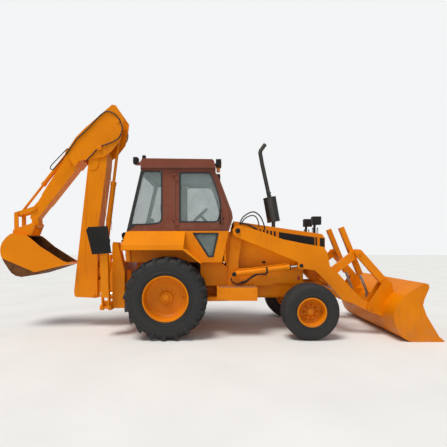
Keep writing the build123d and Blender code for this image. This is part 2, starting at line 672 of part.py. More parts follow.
with BuildPart() as lower_cab:
    body_line = (
        (-763, 1721.7), (-675, 1842.7), (1070, 1842.7), (940, 1290), (574, 1290), (300, 1500), (-720, 1500),
    )
    plate(body_line, CAB_HALF - 40, 40)
    plate(LOWER_WINDOW, CAB_HALF - 50, 60, Mode.SUBTRACT)
    across((
        (-CAB_HALF, 1835), (-1110, 1590), (-1120, 1510), (-1105, 1510), (-1094, 1578), (-CAB_HALF, 1812),
    ), -739, 300)
    plate(((-739, 1500), (-715, 1500), (-715, 1600), (-739, 1600)), CAB_HALF - 1, 360)
    plate(((300, 1500), (574, 1290), (600, 1290), (330, 1530), (300, 1530)), CAB_HALF - 1, 360)
    plate(((-700, 1290), (600, 1290), (300, 1510), (-700, 1510)), WELL_WALL_Y, 20)
    both_sides()
    block((-700, 1000), (-WELL_WALL_Y - 20, WELL_WALL_Y + 20), (1290, 1310))
    block((574, 1000), (-CAB_HALF + 39, CAB_HALF - 39), (1290, 1310))
    block((-760, -680), (-CAB_HALF + 39, CAB_HALF - 39), (1300, 1700))
    block((980, 1020), (-CAB_HALF + 39, CAB_HALF - 39), (1290, 1842))
    for x0 in (-660, 560):
        for y in (-RAIL_Y, RAIL_Y - 90):
            block((x0, x0 + 120), (y, y + 90), (RAIL_TOP + RUN_GAP, 1291))
save(lower_cab.part, "lower_cab")


def side_pane(outline):
    """Build the pair of panes that fill a window in both side walls."""
    with BuildSketch(side(-CAB_HALF + CAB_WALL / 2)) as face:
        with BuildLine():
            Polyline(*outline, close=True)
        make_face()
        offset(amount=-RUN_GAP)
    extrude(face.sketch, amount=GLASS)


with BuildPart() as cab_glass:
    side_pane(REAR_SIDE_WINDOW)
    side_pane(LOWER_WINDOW)
    both_sides()
    slab((
        (826, 2880 - RUN_GAP), (898, 2735), (1106, 2175), (1115, 2110 + RUN_GAP), (1109, 2110 + RUN_GAP),
        (1100, 2175), (892, 2735), (820, 2880 - RUN_GAP),
    ), 680 - RUN_GAP)
    slab((
        (-693, 1935 + RUN_GAP), (-481, 2880 - RUN_GAP), (-475, 2880 - RUN_GAP), (-687, 1935 + RUN_GAP),
    ), 660 - RUN_GAP)
save(cab_glass.part, "cab_glass")


def door(sign):
    """Build a door with its window cut through and a hinge barrel on its rear edge."""
    with BuildPart() as panel:
        plate((
            (DOOR_REAR + DOOR_GAP, 1867), (DOOR_REAR + DOOR_GAP, 2893), (766, 2893), (860, 2717),
            (1067, 2168), (1082, 2076), (1024, 1867),
        ), CAB_HALF - CAB_WALL, CAB_WALL + 4)
        plate(DOOR_WINDOW, CAB_HALF - CAB_WALL - 5, CAB_WALL + 20, Mode.SUBTRACT)
        for z in (1990, 2770):
            with Locations((REAR_AXLE_X + DOOR_REAR + 4, -CAB_HALF - 16, z)):
                Cylinder(11, 90)
            block((DOOR_REAR, DOOR_REAR + 60), (-CAB_HALF - 22, -CAB_HALF - 3), (z - 45, z + 45))
        block((930, 950), (-CAB_HALF - 40, -CAB_HALF - 28), (2010, 2180))
        for z in (2020, 2160):
            block((930, 950), (-CAB_HALF - 30, -CAB_HALF - 3), (z - 10, z + 10))
        if sign > 0:
            mirror(about=Plane.XZ, mode=Mode.REPLACE)
    return panel.part


def door_glass(sign):
    """Build the pane that fills a door's window."""
    with BuildPart() as pane:
        with BuildSketch(side(-CAB_HALF + CAB_WALL / 2)) as face:
            with BuildLine():
                Polyline(*DOOR_WINDOW, close=True)
            make_face()
            offset(amount=-RUN_GAP)
        extrude(amount=GLASS)
        if sign > 0:
            mirror(about=Plane.XZ, mode=Mode.REPLACE)
    return pane.part


for name, sign in SIDES:
    save(door(sign), f"door_{name}")
    save(door_glass(sign), f"door_glass_{name}")

with BuildPart() as seat:
    block((-160, 320), (-240, 240), (1760, 1860))
    with BuildSketch(side(230)) as back:
        with BuildLine():
            Polyline((-160, 1860), (-250, 2400), (-170, 2410), (-70, 1860), close=True)
        make_face()
    extrude(amount=460)
    block((-60, 220), (-150, 150), (1310, 1760))
save(seat.part, "seat")

with BuildPart() as steering_console:
    block((760, 940), (-200, 200), (1310, 1900))
    shaft((820, 1880), (540, 2180), 0, 28, 0, span((820, 1880), (540, 2180)) + 4)
    with BuildSketch(Plane(origin=(REAR_AXLE_X + 540, 0, 2180), x_dir=(0, 1, 0), z_dir=(-280, 0, 300))):
        Circle(200)
        Circle(176, mode=Mode.SUBTRACT)
        with PolarLocations(92, 3, start_angle=90):
            Rectangle(184, 26)
        Circle(44)
    extrude(amount=24)
save(steering_console.part, "steering_console")

# Loader

ARM_SLOT = 72
with BuildPart() as loader_arms:
    arm = (
        (1140, 1790), (1132, 1870), (1180, 1935), (1269, 1944), (1662, 1828), (2037, 1694), (2394, 1622),
        (2751, 1560), (2805, 1471), (2858, 1221), (3001, 1096), (3269, 792), (3465, 614), (3600, 566),
        (3640, 500), (3608, 425), (3540, 425), (3412, 489), (3233, 578), (3072, 632), (2787, 953),
        (2590, 1149), (2412, 1170), (2330, 1160), (2285, 1210), (2290, 1292), (1805, 1498), (1198, 1739),
    )
    plate(arm, ARM_INNER_Y, ARM_WIDTH)
    slot_inner = ARM_Y - ARM_SLOT / 2
    plate(((2150, 1080), (2480, 1080), (2480, 1290), (2420, 1345), (2150, 1345)), slot_inner, ARM_SLOT, Mode.SUBTRACT)
    pin(ARM_PIVOT, ARM_PIN_RADIUS + RUN_GAP, ARM_INNER_Y - 5, ARM_WIDTH + 10, Mode.SUBTRACT)
    pin(LIFT_EYE, 46, ARM_INNER_Y - 4, 20)
    pin(LIFT_EYE, 46, ARM_INNER_Y + ARM_WIDTH - 16, 22)
    pin(GUIDE_PIVOT, LINK_PIN_RADIUS, GUIDE_INNER_Y - 12, ARM_INNER_Y - GUIDE_INNER_Y + 20)
    pin(BUCKET_PIVOT, ARM_PIN_RADIUS + RUN_GAP, ARM_INNER_Y - 5, ARM_WIDTH + 10, Mode.SUBTRACT)
    both_sides()
    with BuildSketch(side(ARM_INNER_Y + 1)):
        with Locations(CROSS_TUBE):
            Circle(CROSS_TUBE_RADIUS)
    extrude(amount=2 * ARM_INNER_Y + 2)
save(loader_arms.part, "loader_arms")

with BuildPart() as lift_barrels:
    barrel(LIFT_BASE, LIFT_EYE, -ARM_Y, LIFT_BARREL_RADIUS, LIFT_ROD_RADIUS, LIFT_BARREL_LENGTH, LINK_PIN_RADIUS, 60)
    both_sides()
save(lift_barrels.part, "lift_barrels")

with BuildPart() as lift_rods:
    rod(LIFT_BASE, LIFT_EYE, -ARM_Y, LIFT_ROD_RADIUS, 200, 54)
    both_sides()
save(lift_rods.part, "lift_rods")

with BuildPart() as guide_links:
    bar(GUIDE_PIVOT, LINK_APEX, 140, GUIDE_INNER_Y, GUIDE_WIDTH)
    pin(GUIDE_PIVOT, LINK_PIN_RADIUS + RUN_GAP, GUIDE_INNER_Y - 5, GUIDE_WIDTH + 10, Mode.SUBTRACT)
    pin(LINK_APEX, LINK_PIN_RADIUS, TILT_Y + TILT_BARREL_SIDE / 2 + 12, LINK_INNER_Y + LINK_WIDTH + 8 - TILT_Y - TILT_BARREL_SIDE / 2 - 12)
    both_sides()
save(guide_links.part, "guide_links")

with BuildPart() as bucket_links:
    bar(LINK_APEX, BUCKET_LINK_PIN, 130, LINK_INNER_Y, LINK_WIDTH)
    pin(LINK_APEX, LINK_PIN_RADIUS + RUN_GAP, LINK_INNER_Y - 5, LINK_WIDTH + 10, Mode.SUBTRACT)
    both_sides()
save(bucket_links.part, "bucket_links")

TILT_BORE = TILT_ROD_RADIUS + RUN_GAP
with BuildPart() as tilt_barrels:
    tilt_top = toward(LINK_APEX, TILT_EYE, -TILT_TOP_REACH)
    heading = (TILT_EYE[0] - LINK_APEX[0], 0, TILT_EYE[1] - LINK_APEX[1])
    with BuildSketch(Plane(origin=(REAR_AXLE_X + tilt_top[0], -TILT_Y, tilt_top[1]), x_dir=(0, 1, 0), z_dir=heading)):
        RectangleRounded(TILT_BARREL_SIDE, TILT_BARREL_SIDE, 14)
        Circle(TILT_BORE, mode=Mode.SUBTRACT)
    extrude(amount=TILT_TOP_REACH + TILT_END_REACH)
    shaft(LINK_APEX, TILT_EYE, -TILT_Y, TILT_BARREL_SIDE / 2 - 4, -TILT_TOP_REACH, -TILT_TOP_REACH + 60)
    trunnion = TILT_Y + TILT_BARREL_SIDE / 2 - 2
    pin(LINK_APEX, 54, trunnion, 70)
    pin(LINK_APEX, LINK_PIN_RADIUS + RUN_GAP, trunnion + 8, 80, Mode.SUBTRACT)
    both_sides()
save(tilt_barrels.part, "tilt_barrels")

with BuildPart() as tilt_rods:
    shaft(LINK_APEX, TILT_EYE, -TILT_Y, TILT_ROD_RADIUS, -TILT_TOP_REACH + 385, span(LINK_APEX, TILT_EYE))
    pin(TILT_EYE, 38, TILT_Y - 26, 52)
    both_sides()
save(tilt_rods.part, "tilt_rods")

BUCKET_BACK = (
    (4275, 965), (4150, 893), (4000, 800), (3855, 660), (3780, 530), (3762, 400), (3790, 270), (3860, 130),
    (3960, 40), (4060, 0),
)
BUCKET_INSIDE = (
    (4065, BUCKET_PLATE), (3978, 60), (3884, 146), (3814, 280), (3787, 400), (3804, 520), (3877, 645), (4015, 780),
    (4162, 872), (4287, 944),
)
with BuildPart() as loader_bucket:
    with BuildSketch(side(BUCKET_HALF_WIDTH)) as shell:
        with BuildLine():
            Spline(*BUCKET_BACK)
            Polyline((4060, 0), (4590, 0), (4590, 6), (4520, BUCKET_PLATE), (4065, BUCKET_PLATE))
            Spline(*BUCKET_INSIDE)
            Line(BUCKET_INSIDE[-1], BUCKET_BACK[0])
        make_face()
    extrude(shell.sketch, amount=2 * BUCKET_HALF_WIDTH)
    with BuildSketch(side(-BUCKET_HALF_WIDTH + BUCKET_SIDE)) as end_plate:
        with BuildLine():
            Spline(*BUCKET_BACK)
            Polyline(
                (4060, 0), (4570, 0), (4590, 20), (4507, 83), (4300, 430), (4240, 600), (4262, 700),
                (4343, 887), (4335, 945), BUCKET_BACK[0],
            )
        make_face()
    extrude(end_plate.sketch, amount=BUCKET_SIDE)
    hinge = (
        (3573, 412), (3515, 440), (3500, 482), (3530, 560), (3780, 940), (3840, 975), (3900, 965), (3945, 900),
        (3960, 760), (3860, 640), (3785, 520), (3770, 400), (3785, 330), (3700, 370),
    )
    for inner, thick in ((LINK_INNER_Y - 72, 24), (LINK_INNER_Y + LINK_WIDTH + 34, 24)):
        plate(hinge, inner, thick)
    pin(BUCKET_PIVOT, ARM_PIN_RADIUS, LINK_INNER_Y - 78, LINK_WIDTH + 140 + 6)
    tilt_ear = (
        (TILT_EYE[0] - 30, TILT_EYE[1] + 40), (TILT_EYE[0] + 20, TILT_EYE[1] + 45), (3900, 700), (3865, 650),
        (3785, 520), (TILT_EYE[0] - 40, TILT_EYE[1] - 30),
    )
    for inner in (TILT_Y - 60, TILT_Y + 36):
        plate(tilt_ear, inner, 24)
    both_sides()
    with Locations((REAR_AXLE_X + EDGE_BOLT_X, 0, BUCKET_PLATE / 2)):
        with GridLocations(1, EDGE_BOLT_PITCH, 1, EDGE_BOLT_COUNT):
            Cylinder(EDGE_BOLT_RADIUS, 2 * BUCKET_PLATE, mode=Mode.SUBTRACT)
save(loader_bucket.part, "loader_bucket")

# Backhoe

POST_INNER = 84
POST_PLATE = 40
with BuildPart() as swing_post:
    post = (
        (-1190, 600), (-1400, 590), (-1530, 562), (-1614, 640), (-1590, 760), (-1500, 1140), (-1330, 1195),
        (-1190, 1195),
    )
    plate(post, POST_INNER, POST_PLATE)
    plate(((-1290, 920), (-1460, 920), (-1420, 1050), (-1290, 1090)), POST_INNER - 5, POST_PLATE + 10, Mode.SUBTRACT)
    for z in (SWING_ROD_Z + 28, SWING_ROD_Z - 50):
        plate(((-1390, z), (-1310, z), (-1310, z + 22), (-1390, z + 22)), POST_INNER + POST_PLATE - 1, 130)
    both_sides()
    block((-1250, -1136), (-POST_INNER - POST_PLATE, POST_INNER + POST_PLATE), (597, 1203))
    with Locations((REAR_AXLE_X + SWING_X, 0, 900)):
        Cylinder(86, 606)
        Cylinder(SWING_PIN_RADIUS + RUN_GAP, 700, mode=Mode.SUBTRACT)
    pin(BOOM_FOOT, BOOM_FOOT_RADIUS + RUN_GAP, -200, 400, Mode.SUBTRACT)
    pin(BOOM_CYL_BASE, LINK_PIN_RADIUS, -POST_INNER - POST_PLATE, 2 * (POST_INNER + POST_PLATE))
save(swing_post.part, "swing_post")


def swing_rod(sign):
    """Build a swing cylinder's rod with its upright eye."""
    with BuildPart() as body:
        start = REAR_AXLE_X + SWING_ROD_EYE_X
        with BuildSketch(Plane(origin=(start, sign * SWING_ROD_Y, SWING_ROD_Z), x_dir=(0, 1, 0), z_dir=(1, 0, 0))):
            Circle(SWING_ROD_RADIUS)
        extrude(amount=SWING_BARREL_END_X + 120 - SWING_ROD_EYE_X)
        with Locations((start, sign * SWING_ROD_Y, SWING_ROD_Z)):
            Cylinder(36, 44)
    return body.part


for name, sign in SIDES:
    save(swing_rod(sign), f"swing_rod_{name}")

POST_SLOT_HALF = POST_INNER + POST_PLATE + 10
CYL_SLOT_HALF = 78
with BuildPart() as boom:
    boom_line = (
        (-1895, 620), (-1870, 592), (-1480, 575), (-1455, 640), (-1450, 1500), (-1422, 2044), (-1277, 3147),
        (-1262, 3400), (-1400, 3610), (-1530, 3500), (-1635, 3147), (-1906, 700),
    )
    slab(boom_line, BOOM_HALF)
    post_slot = ((-1655, 480), (-1655, 720), (-1570, 1160), (-1550, 1280), (-1250, 1280), (-1250, 480))
    slab(post_slot, POST_SLOT_HALF, Mode.SUBTRACT)
    cylinder_slot = (
        (-1640, 700), (-1640, 1200), (-1700, 1640), (-1705, 1790), (-1650, 1850), (-1300, 1850), (-1300, 700),
    )
    slab(cylinder_slot, CYL_SLOT_HALF, Mode.SUBTRACT)
    for y in (POST_INNER, -BOOM_HALF - 12):
        pin(BOOM_FOOT, BOOM_FOOT_RADIUS, y, BOOM_HALF + 12 - POST_INNER)
    pin(DIPPER_PIVOT, BOOM_FOOT_RADIUS, -222, 444)
    for y in (-CYL_SLOT_HALF - 30, CYL_SLOT_HALF + 2):
        plate((
            (DIPPER_CYL_BASE[0] - 130, DIPPER_CYL_BASE[1] + 160), (DIPPER_CYL_BASE[0] - 130, DIPPER_CYL_BASE[1] - 160),
            (DIPPER_CYL_BASE[0], DIPPER_CYL_BASE[1] - 50), (DIPPER_CYL_BASE[0] + 48, DIPPER_CYL_BASE[1]),
            (DIPPER_CYL_BASE[0] + 10, DIPPER_CYL_BASE[1] + 48),
        ), y, 28)
    pin(DIPPER_CYL_BASE, LINK_PIN_RADIUS, -CYL_SLOT_HALF - 30, 2 * CYL_SLOT_HALF + 60)
save(boom.part, "boom")

with BuildPart() as boom_barrel:
    barrel(BOOM_CYL_BASE, BOOM_CYL_EYE, 0, 54, 28, 640, LINK_PIN_RADIUS, 60)
save(boom_barrel.part, "boom_barrel")
with BuildPart() as boom_rod:
    rod(BOOM_CYL_BASE, BOOM_CYL_EYE, 0, 28, 90, 60)
save(boom_rod.part, "boom_rod")

with BuildPart() as dipper:
    fork = (
        (-1867, 3669), (-1700, 3840), (-1161, 4305), (-1090, 4290), (-930, 4060), (-950, 3900), (-1007, 3621),
        (-1180, 3400), (-1330, 3290), (-1790, 3225), (-1880, 3110), (-2060, 3368),
    )
    plate(fork, BOOM_HALF + 8, 22)
    both_sides()
    beam = (
        (-1867, 3669), (-2640, 2462), (-2780, 2300), (-2800, 2110), (-2661, 2102), (-1900, 3060), (-1760, 3260), (-1750, 3560),
        (-1800, 3660),
    )
    slab(beam, 86)
    slab(((-1867, 3669), (-2560, 2586), (-2450, 2366), (-1900, 3060), (-1760, 3260), (-1750, 3560)), 112)
    slab(((-1867, 3669), (-2060, 3368), (-1880, 3110), (-1760, 3250), (-1750, 3560)), BOOM_HALF + 9)
    slab(((-1867, 3669), (-1700, 3840), (-1161, 4305), (-1150, 4270), (-1690, 3800), (-1800, 3580)), BOOM_HALF + 9)
    bar((-2715, 2190), SCOOP_PIVOT, 124, -86, 172)
    pin(GUIDE_FOOT, 26, -GUIDE_PLATE_Y - 22, 2 * GUIDE_PLATE_Y + 44)
    for y in (-76, 48):
        plate((
            (CURL_BASE[0] - 50, CURL_BASE[1] - 10), (CURL_BASE[0] - 20, CURL_BASE[1] + 42),
            (CURL_BASE[0] + 25, CURL_BASE[1] + 42), (-1900, 3600), (-1980, 3450), (-2160, 3180),
        ), y, 28)
    pin(CURL_BASE, 26, -80, 160)
    pin(DIPPER_CYL_EYE, 70, BOOM_HALF - 60, 70)
    pin(DIPPER_CYL_EYE, 70, -BOOM_HALF - 10, 70)
    pin(DIPPER_PIVOT, BOOM_FOOT_RADIUS + RUN_GAP, -260, 520, Mode.SUBTRACT)
    pin(SCOOP_PIVOT, 30 + RUN_GAP, -100, 200, Mode.SUBTRACT)
save(dipper.part, "dipper")

with BuildPart() as dipper_barrel:
    barrel(DIPPER_CYL_BASE, DIPPER_CYL_EYE, 0, 50, 28, 1160, LINK_PIN_RADIUS, 60)
save(dipper_barrel.part, "dipper_barrel")
with BuildPart() as dipper_rod:
    rod(DIPPER_CYL_BASE, DIPPER_CYL_EYE, 0, 28, 1080, 90)
save(dipper_rod.part, "dipper_rod")

with BuildPart() as curl_barrel:
    barrel(CURL_BASE, CURL_EYE, 0, 40, 24, 860, 26, 60)
save(curl_barrel.part, "curl_barrel")
with BuildPart() as curl_rod:
    rod(CURL_BASE, CURL_EYE, 0, 24, 740, 60)
save(curl_rod.part, "curl_rod")

with BuildPart() as curl_guide:
    bar(GUIDE_FOOT, CURL_EYE, 84, GUIDE_PLATE_Y, 20)
    pin(GUIDE_FOOT, 26 + RUN_GAP, GUIDE_PLATE_Y - 10, 40, Mode.SUBTRACT)
    pin(CURL_EYE, 26, 38, SCOOP_LINK_Y + 24 - 38)
    both_sides()
save(curl_guide.part, "curl_guide")

with BuildPart() as curl_link:
    bar(SCOOP_EAR, CURL_EYE, 80, SCOOP_LINK_Y, 20)
    for centre in (SCOOP_EAR, CURL_EYE):
        pin(centre, 26 + RUN_GAP, SCOOP_LINK_Y - 10, 40, Mode.SUBTRACT)
    both_sides()
save(curl_link.part, "curl_link")

with BuildPart() as backhoe_bucket:
    scoop_shell = (
        (-2770, 1790), (-3050, 1815), (-3135, 1750), (-3215, 1650), (-3245, 1570), (-3255, 1490), (-3240, 1400),
        (-3195, 1300), (-3100, 1150), (-3040, 1070), (-2960, 1015), (-2850, 990), (-2610, 1035), (-2310, 1128),
        (-1900, 1262), (-1895, 1285), (-2316, 1154), (-2614, 1061), (-2851, 1017), (-2948, 1039), (-3020, 1089),
        (-3078, 1166), (-3171, 1314), (-3214, 1408), (-3228, 1490), (-3220, 1564), (-3191, 1638), (-3117, 1733),
        (-3040, 1788),
        (-2770, 1764),
    )
    slab(scoop_shell, SCOOP_HALF)
    cheek = (
        (-2770, 1790), (-3050, 1815), (-3135, 1750), (-3215, 1650), (-3245, 1570), (-3255, 1490), (-3240, 1400),
        (-3195, 1300), (-3100, 1150), (-3040, 1070), (-2960, 1015), (-2850, 990), (-2610, 1035), (-2310, 1128),
        (-1930, 1252), (-2060, 1290), (-2500, 1570), (-2700, 1740),
    )
    plate(cheek, SCOOP_HALF - 20, 20)
    ear = (
        (SCOOP_PIVOT[0] + 50, SCOOP_PIVOT[1] + 10), (SCOOP_PIVOT[0], SCOOP_PIVOT[1] + 56),
        (SCOOP_PIVOT[0] - 60, SCOOP_PIVOT[1] + 20), (SCOOP_EAR[0] + 10, SCOOP_EAR[1] + 48),
        (SCOOP_EAR[0] - 46, SCOOP_EAR[1] + 10), (-3110, 1765), (-3030, 1815), (-2740, 1778),
    )
    plate(ear, SCOOP_EAR_Y, 22)
    pin(SCOOP_EAR, 26, SCOOP_LINK_Y - 2, SCOOP_EAR_Y + 26 - SCOOP_LINK_Y)
    both_sides()
    pin(SCOOP_PIVOT, 30, -SCOOP_EAR_Y - 26, 2 * SCOOP_EAR_Y + 52)
    for tooth in range(5):
        y = (tooth - 2) * 140
        plate(((-1990, 1228), (-1868, 1286), (-1990, 1266)), y - 25, 50)
save(backhoe_bucket.part, "backhoe_bucket")


def along_leg(reach, offset):
    """Cross-section point (|y|, z) at a reach along a leg and an offset outward of it."""
    return (
        LEG_PIVOT[0] + reach * LEG_WAY[0] + offset * LEG_WAY[1],
        LEG_PIVOT[1] + reach * LEG_WAY[1] - offset * LEG_WAY[0],
    )


def stabilizer(sign):
    """Build a stabilizer leg folded up behind its upright: two cheeks and an outer web."""
    half = LEG_DEPTH / 2
    with BuildPart() as body:
        cheek_points = ((0, -half), (0, half), (LEG_LENGTH, half), (LEG_LENGTH, -half))
        web_points = ((JACK_REACH - 120, half - 16), (JACK_REACH - 120, half), (LEG_LENGTH - 70, half), (LEG_LENGTH - 70, half - 16))
        for x0 in (LEG_X, LEG_X + LEG_WIDTH - LEG_PLATE):
            across([(-y, z) for y, z in (along_leg(*p) for p in cheek_points)], x0, x0 + LEG_PLATE)
            lateral(-LEG_PIVOT[0], LEG_PIVOT[1], half, x0, x0 + LEG_PLATE)
            lateral(-LEG_END[0], LEG_END[1], 42, x0, x0 + LEG_PLATE)
        across([(-y, z) for y, z in (along_leg(*p) for p in web_points)], LEG_X, LEG_X + LEG_WIDTH)
        lateral(-LEG_PIVOT[0], LEG_PIVOT[1], LEG_PIN_RADIUS + RUN_GAP, LEG_X - 50, LEG_X + LEG_WIDTH + 50, Mode.SUBTRACT)
        lateral(-LEG_END[0], LEG_END[1], 24 + RUN_GAP, LEG_X - 50, LEG_X + LEG_WIDTH + 50, Mode.SUBTRACT)
        if sign > 0:
            mirror(about=Plane.XZ, mode=Mode.REPLACE)
    return body.part


def stabilizer_pad(sign):
    """Build a stabilizer's foot pad with the two ears that hold it to the leg's end."""
    with BuildPart() as body:
        plate(((-1325, 1842), (-1290, 1895), (-975, 1910), (-915, 1460), (-1225, 1435)), PAD_INNER_Y, PAD_PLATE)
        for x0 in (LEG_X - MOVE_GAP - 20, LEG_X + LEG_WIDTH + MOVE_GAP):
            block((x0, x0 + 20), (-PAD_INNER_Y - 1, -LEG_END[0]), (LEG_END[1] - 44, LEG_END[1] + 44))
            lateral(-LEG_END[0], LEG_END[1], 44, x0, x0 + 20)
        lateral(-LEG_END[0], LEG_END[1], 24, LEG_X - 34, LEG_X + LEG_WIDTH + 34)
        if sign > 0:
            mirror(about=Plane.XZ, mode=Mode.REPLACE)
    return body.part


def jack_barrel(sign):
    """Build a stabilizer cylinder's barrel, hung from its lug on the upright."""
    with BuildPart() as body:
        jack_shaft(JACK_RADIUS, 24, JACK_LENGTH)
        lateral(-JACK_BASE[0], JACK_BASE[1], 36, JACK_X - 30, JACK_X + 30)
        jack_shaft(JACK_ROD_RADIUS + RUN_GAP, 60, JACK_LENGTH + 1, Mode.SUBTRACT)
        lateral(-JACK_BASE[0], JACK_BASE[1], JACK_PIN_RADIUS + RUN_GAP, JACK_X - 50, JACK_X + 50, Mode.SUBTRACT)
        if sign > 0:
            mirror(about=Plane.XZ, mode=Mode.REPLACE)
    return body.part


def jack_rod(sign):
    """Build a stabilizer cylinder's rod with its eye between the leg's cheeks."""
    with BuildPart() as body:
        jack_shaft(JACK_ROD_RADIUS, 80, span(JACK_BASE, JACK_EYE))
        lateral(-JACK_EYE[0], JACK_EYE[1], 32, JACK_X - 26, JACK_X + 26)
        if sign > 0:
            mirror(about=Plane.XZ, mode=Mode.REPLACE)
    return body.part


for name, sign in SIDES:
    save(stabilizer(sign), f"stabilizer_{name}")
    save(stabilizer_pad(sign), f"stabilizer_pad_{name}")
    save(jack_barrel(sign), f"jack_barrel_{name}")
    save(jack_rod(sign), f"jack_rod_{name}")
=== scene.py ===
"""A backhoe loader dressed for the render: paint, glass, hoses and small fittings around its CAD frame."""

import logging
import math
from collections.abc import Sequence
from dataclasses import dataclass, field
from enum import Enum

import bmesh
import bpy
from mathutils import Matrix, Vector


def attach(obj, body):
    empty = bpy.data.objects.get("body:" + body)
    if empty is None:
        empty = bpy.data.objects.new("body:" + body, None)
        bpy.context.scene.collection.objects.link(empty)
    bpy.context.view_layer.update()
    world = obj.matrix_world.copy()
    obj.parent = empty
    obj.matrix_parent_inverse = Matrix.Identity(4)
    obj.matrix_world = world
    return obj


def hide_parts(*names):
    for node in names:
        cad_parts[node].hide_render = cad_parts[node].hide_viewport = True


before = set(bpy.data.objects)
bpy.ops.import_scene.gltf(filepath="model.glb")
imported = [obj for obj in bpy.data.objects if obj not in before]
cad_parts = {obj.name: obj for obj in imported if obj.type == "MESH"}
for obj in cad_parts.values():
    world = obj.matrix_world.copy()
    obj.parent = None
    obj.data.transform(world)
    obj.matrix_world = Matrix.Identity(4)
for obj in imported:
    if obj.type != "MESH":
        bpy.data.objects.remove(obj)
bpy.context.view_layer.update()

log = logging.getLogger("backhoe_loader")

Point = tuple[float, float, float]
Flat = tuple[float, float]
Colour = tuple[float, float, float, float]
Socket = bpy.types.NodeSocket
Shape = bmesh.types.BMesh
Ring = list[bmesh.types.BMVert]
Outline = tuple[Flat, ...]
Pin = tuple[str, Flat, float, float]

REAR_AXLE_X = -0.666
RIGHT = -1.0
LEFT = 1.0
SIDE_NAMES = {RIGHT: "right", LEFT: "left"}
SHARP_ANGLE = math.radians(38)
MIX_FIRST, MIX_SECOND, MIX_RESULT = 6, 7, 2


def station(x: float) -> float:
    """World X, in metres, of a place measured forward from the rear axle."""
    return x + REAR_AXLE_X


def placed(spot: Point) -> Vector:
    """World place of a spot given forward of the rear axle, across and up."""
    return Vector((station(spot[0]), spot[1], spot[2]))


class Slot(Enum):
    """The record's material slots."""

    ORANGE = "orange_paint"
    BROWN = "brown_paint"
    BLACK = "black_paint"
    RUBBER = "tyre_rubber"
    CHROME = "rod_chrome"
    GLASS = "window_glass"
    GREY = "exhaust_grey"
    VINYL = "seat_vinyl"


class ShaderSheet:
    """One material's node tree, with short calls for the nodes that the finishes use."""

    def __init__(self, name: str) -> None:
        """Start an empty sheet with a Principled shader on its output.

        Args:
            name: The material's name.
        """
        self.material = bpy.data.materials.new(name)
        self.material.use_nodes = True
        self.tree = self.material.node_tree
        self.tree.nodes.clear()
        output = self.tree.nodes.new("ShaderNodeOutputMaterial")
        self.shader = self.tree.nodes.new("ShaderNodeBsdfPrincipled")
        self.tree.links.new(self.shader.outputs[0], output.inputs[0])
        places = self.tree.nodes.new("ShaderNodeTexCoord")
        self.place = places.outputs["Object"]
        self.normal = places.outputs["Normal"]

    def link(self, source: Socket, target: Socket) -> None:
        """Join two sockets."""
        self.tree.links.new(source, target)

    def noise(self, scale: float, detail: float = 3.0, stretch: Point = (1.0, 1.0, 1.0)) -> Socket:
        """A noise value over the piece.

        Args:
            scale: Cycles per metre.
            detail: Octaves.
            stretch: Factors on X, Y and Z before the noise is read.

        Returns:
            The noise's value socket.
        """
        scaled = self.tree.nodes.new("ShaderNodeMapping")
        scaled.inputs["Scale"].default_value = stretch
        self.link(self.place, scaled.inputs["Vector"])
        node = self.tree.nodes.new("ShaderNodeTexNoise")
        node.inputs["Scale"].default_value = scale
        node.inputs["Detail"].default_value = detail
        self.link(scaled.outputs[0], node.inputs["Vector"])
        return node.outputs["Fac"]

    def height(self, low: float, high: float) -> Socket:
        """A value that runs from 1 at a low Z to 0 at a high Z, in metres."""
        return self.remap(self.along("Z"), low, high, 1.0, 0.0)

    def along(self, axis: str) -> Socket:
        """The place on the piece along one axis, in metres.

        Args:
            axis: X, Y or Z.

        Returns:
            The place's socket.
        """
        parts = self.tree.nodes.new("ShaderNodeSeparateXYZ")
        self.link(self.place, parts.inputs[0])
        return parts.outputs[axis]

    def remap(
        self, value: Socket, low: float, high: float, start: float = 0.0, end: float = 1.0
    ) -> Socket:
        """Map a value's range onto another, clamped.

        Args:
            value: The value to map.
            low: Value that maps to start.
            high: Value that maps to end.
            start: Result at low.
            end: Result at high.

        Returns:
            The mapped value's socket.
        """
        node = self.tree.nodes.new("ShaderNodeMapRange")
        self.link(value, node.inputs["Value"])
        for key, number in (("From Min", low), ("From Max", high), ("To Min", start), ("To Max", end)):
            node.inputs[key].default_value = number
        return node.outputs["Result"]

    def combine(self, way: str, first: Socket, second: Socket) -> Socket:
        """Two values joined by an operation.

        Args:
            way: The operation, by the math node's name for it.
            first: The first value.
            second: The second value.

        Returns:
            The result's socket.
        """
        node = self.tree.nodes.new("ShaderNodeMath")
        node.operation = way
        self.link(first, node.inputs[0])
        self.link(second, node.inputs[1])
        return node.outputs[0]

    def blend(self, share: Socket, first: Colour | Socket, second: Colour | Socket) -> Socket:
        """Mix two colours.

        Args:
            share: How much of the second colour shows, 0 to 1.
            first: A colour or a colour socket.
            second: The colour or colour socket mixed in.

        Returns:
            The mixed colour's socket.
        """
        node = self.tree.nodes.new("ShaderNodeMix")
        node.data_type = "RGBA"
        self.link(share, node.inputs[0])
        for place, colour in ((MIX_FIRST, first), (MIX_SECOND, second)):
            if isinstance(colour, tuple):
                node.inputs[place].default_value = colour
            else:
                self.link(colour, node.inputs[place])
        return node.outputs[MIX_RESULT]

    def bump(self, value: Socket, depth: float) -> None:
        """Raise the surface by a value times a depth in metres.

        Args:
            value: The value that raises it.
            depth: Height in metres at a value of 1.
        """
        node = self.tree.nodes.new("ShaderNodeBump")
        node.inputs["Distance"].default_value = depth
        self.link(value, node.inputs["Height"])
        self.link(node.outputs[0], self.shader.inputs["Normal"])


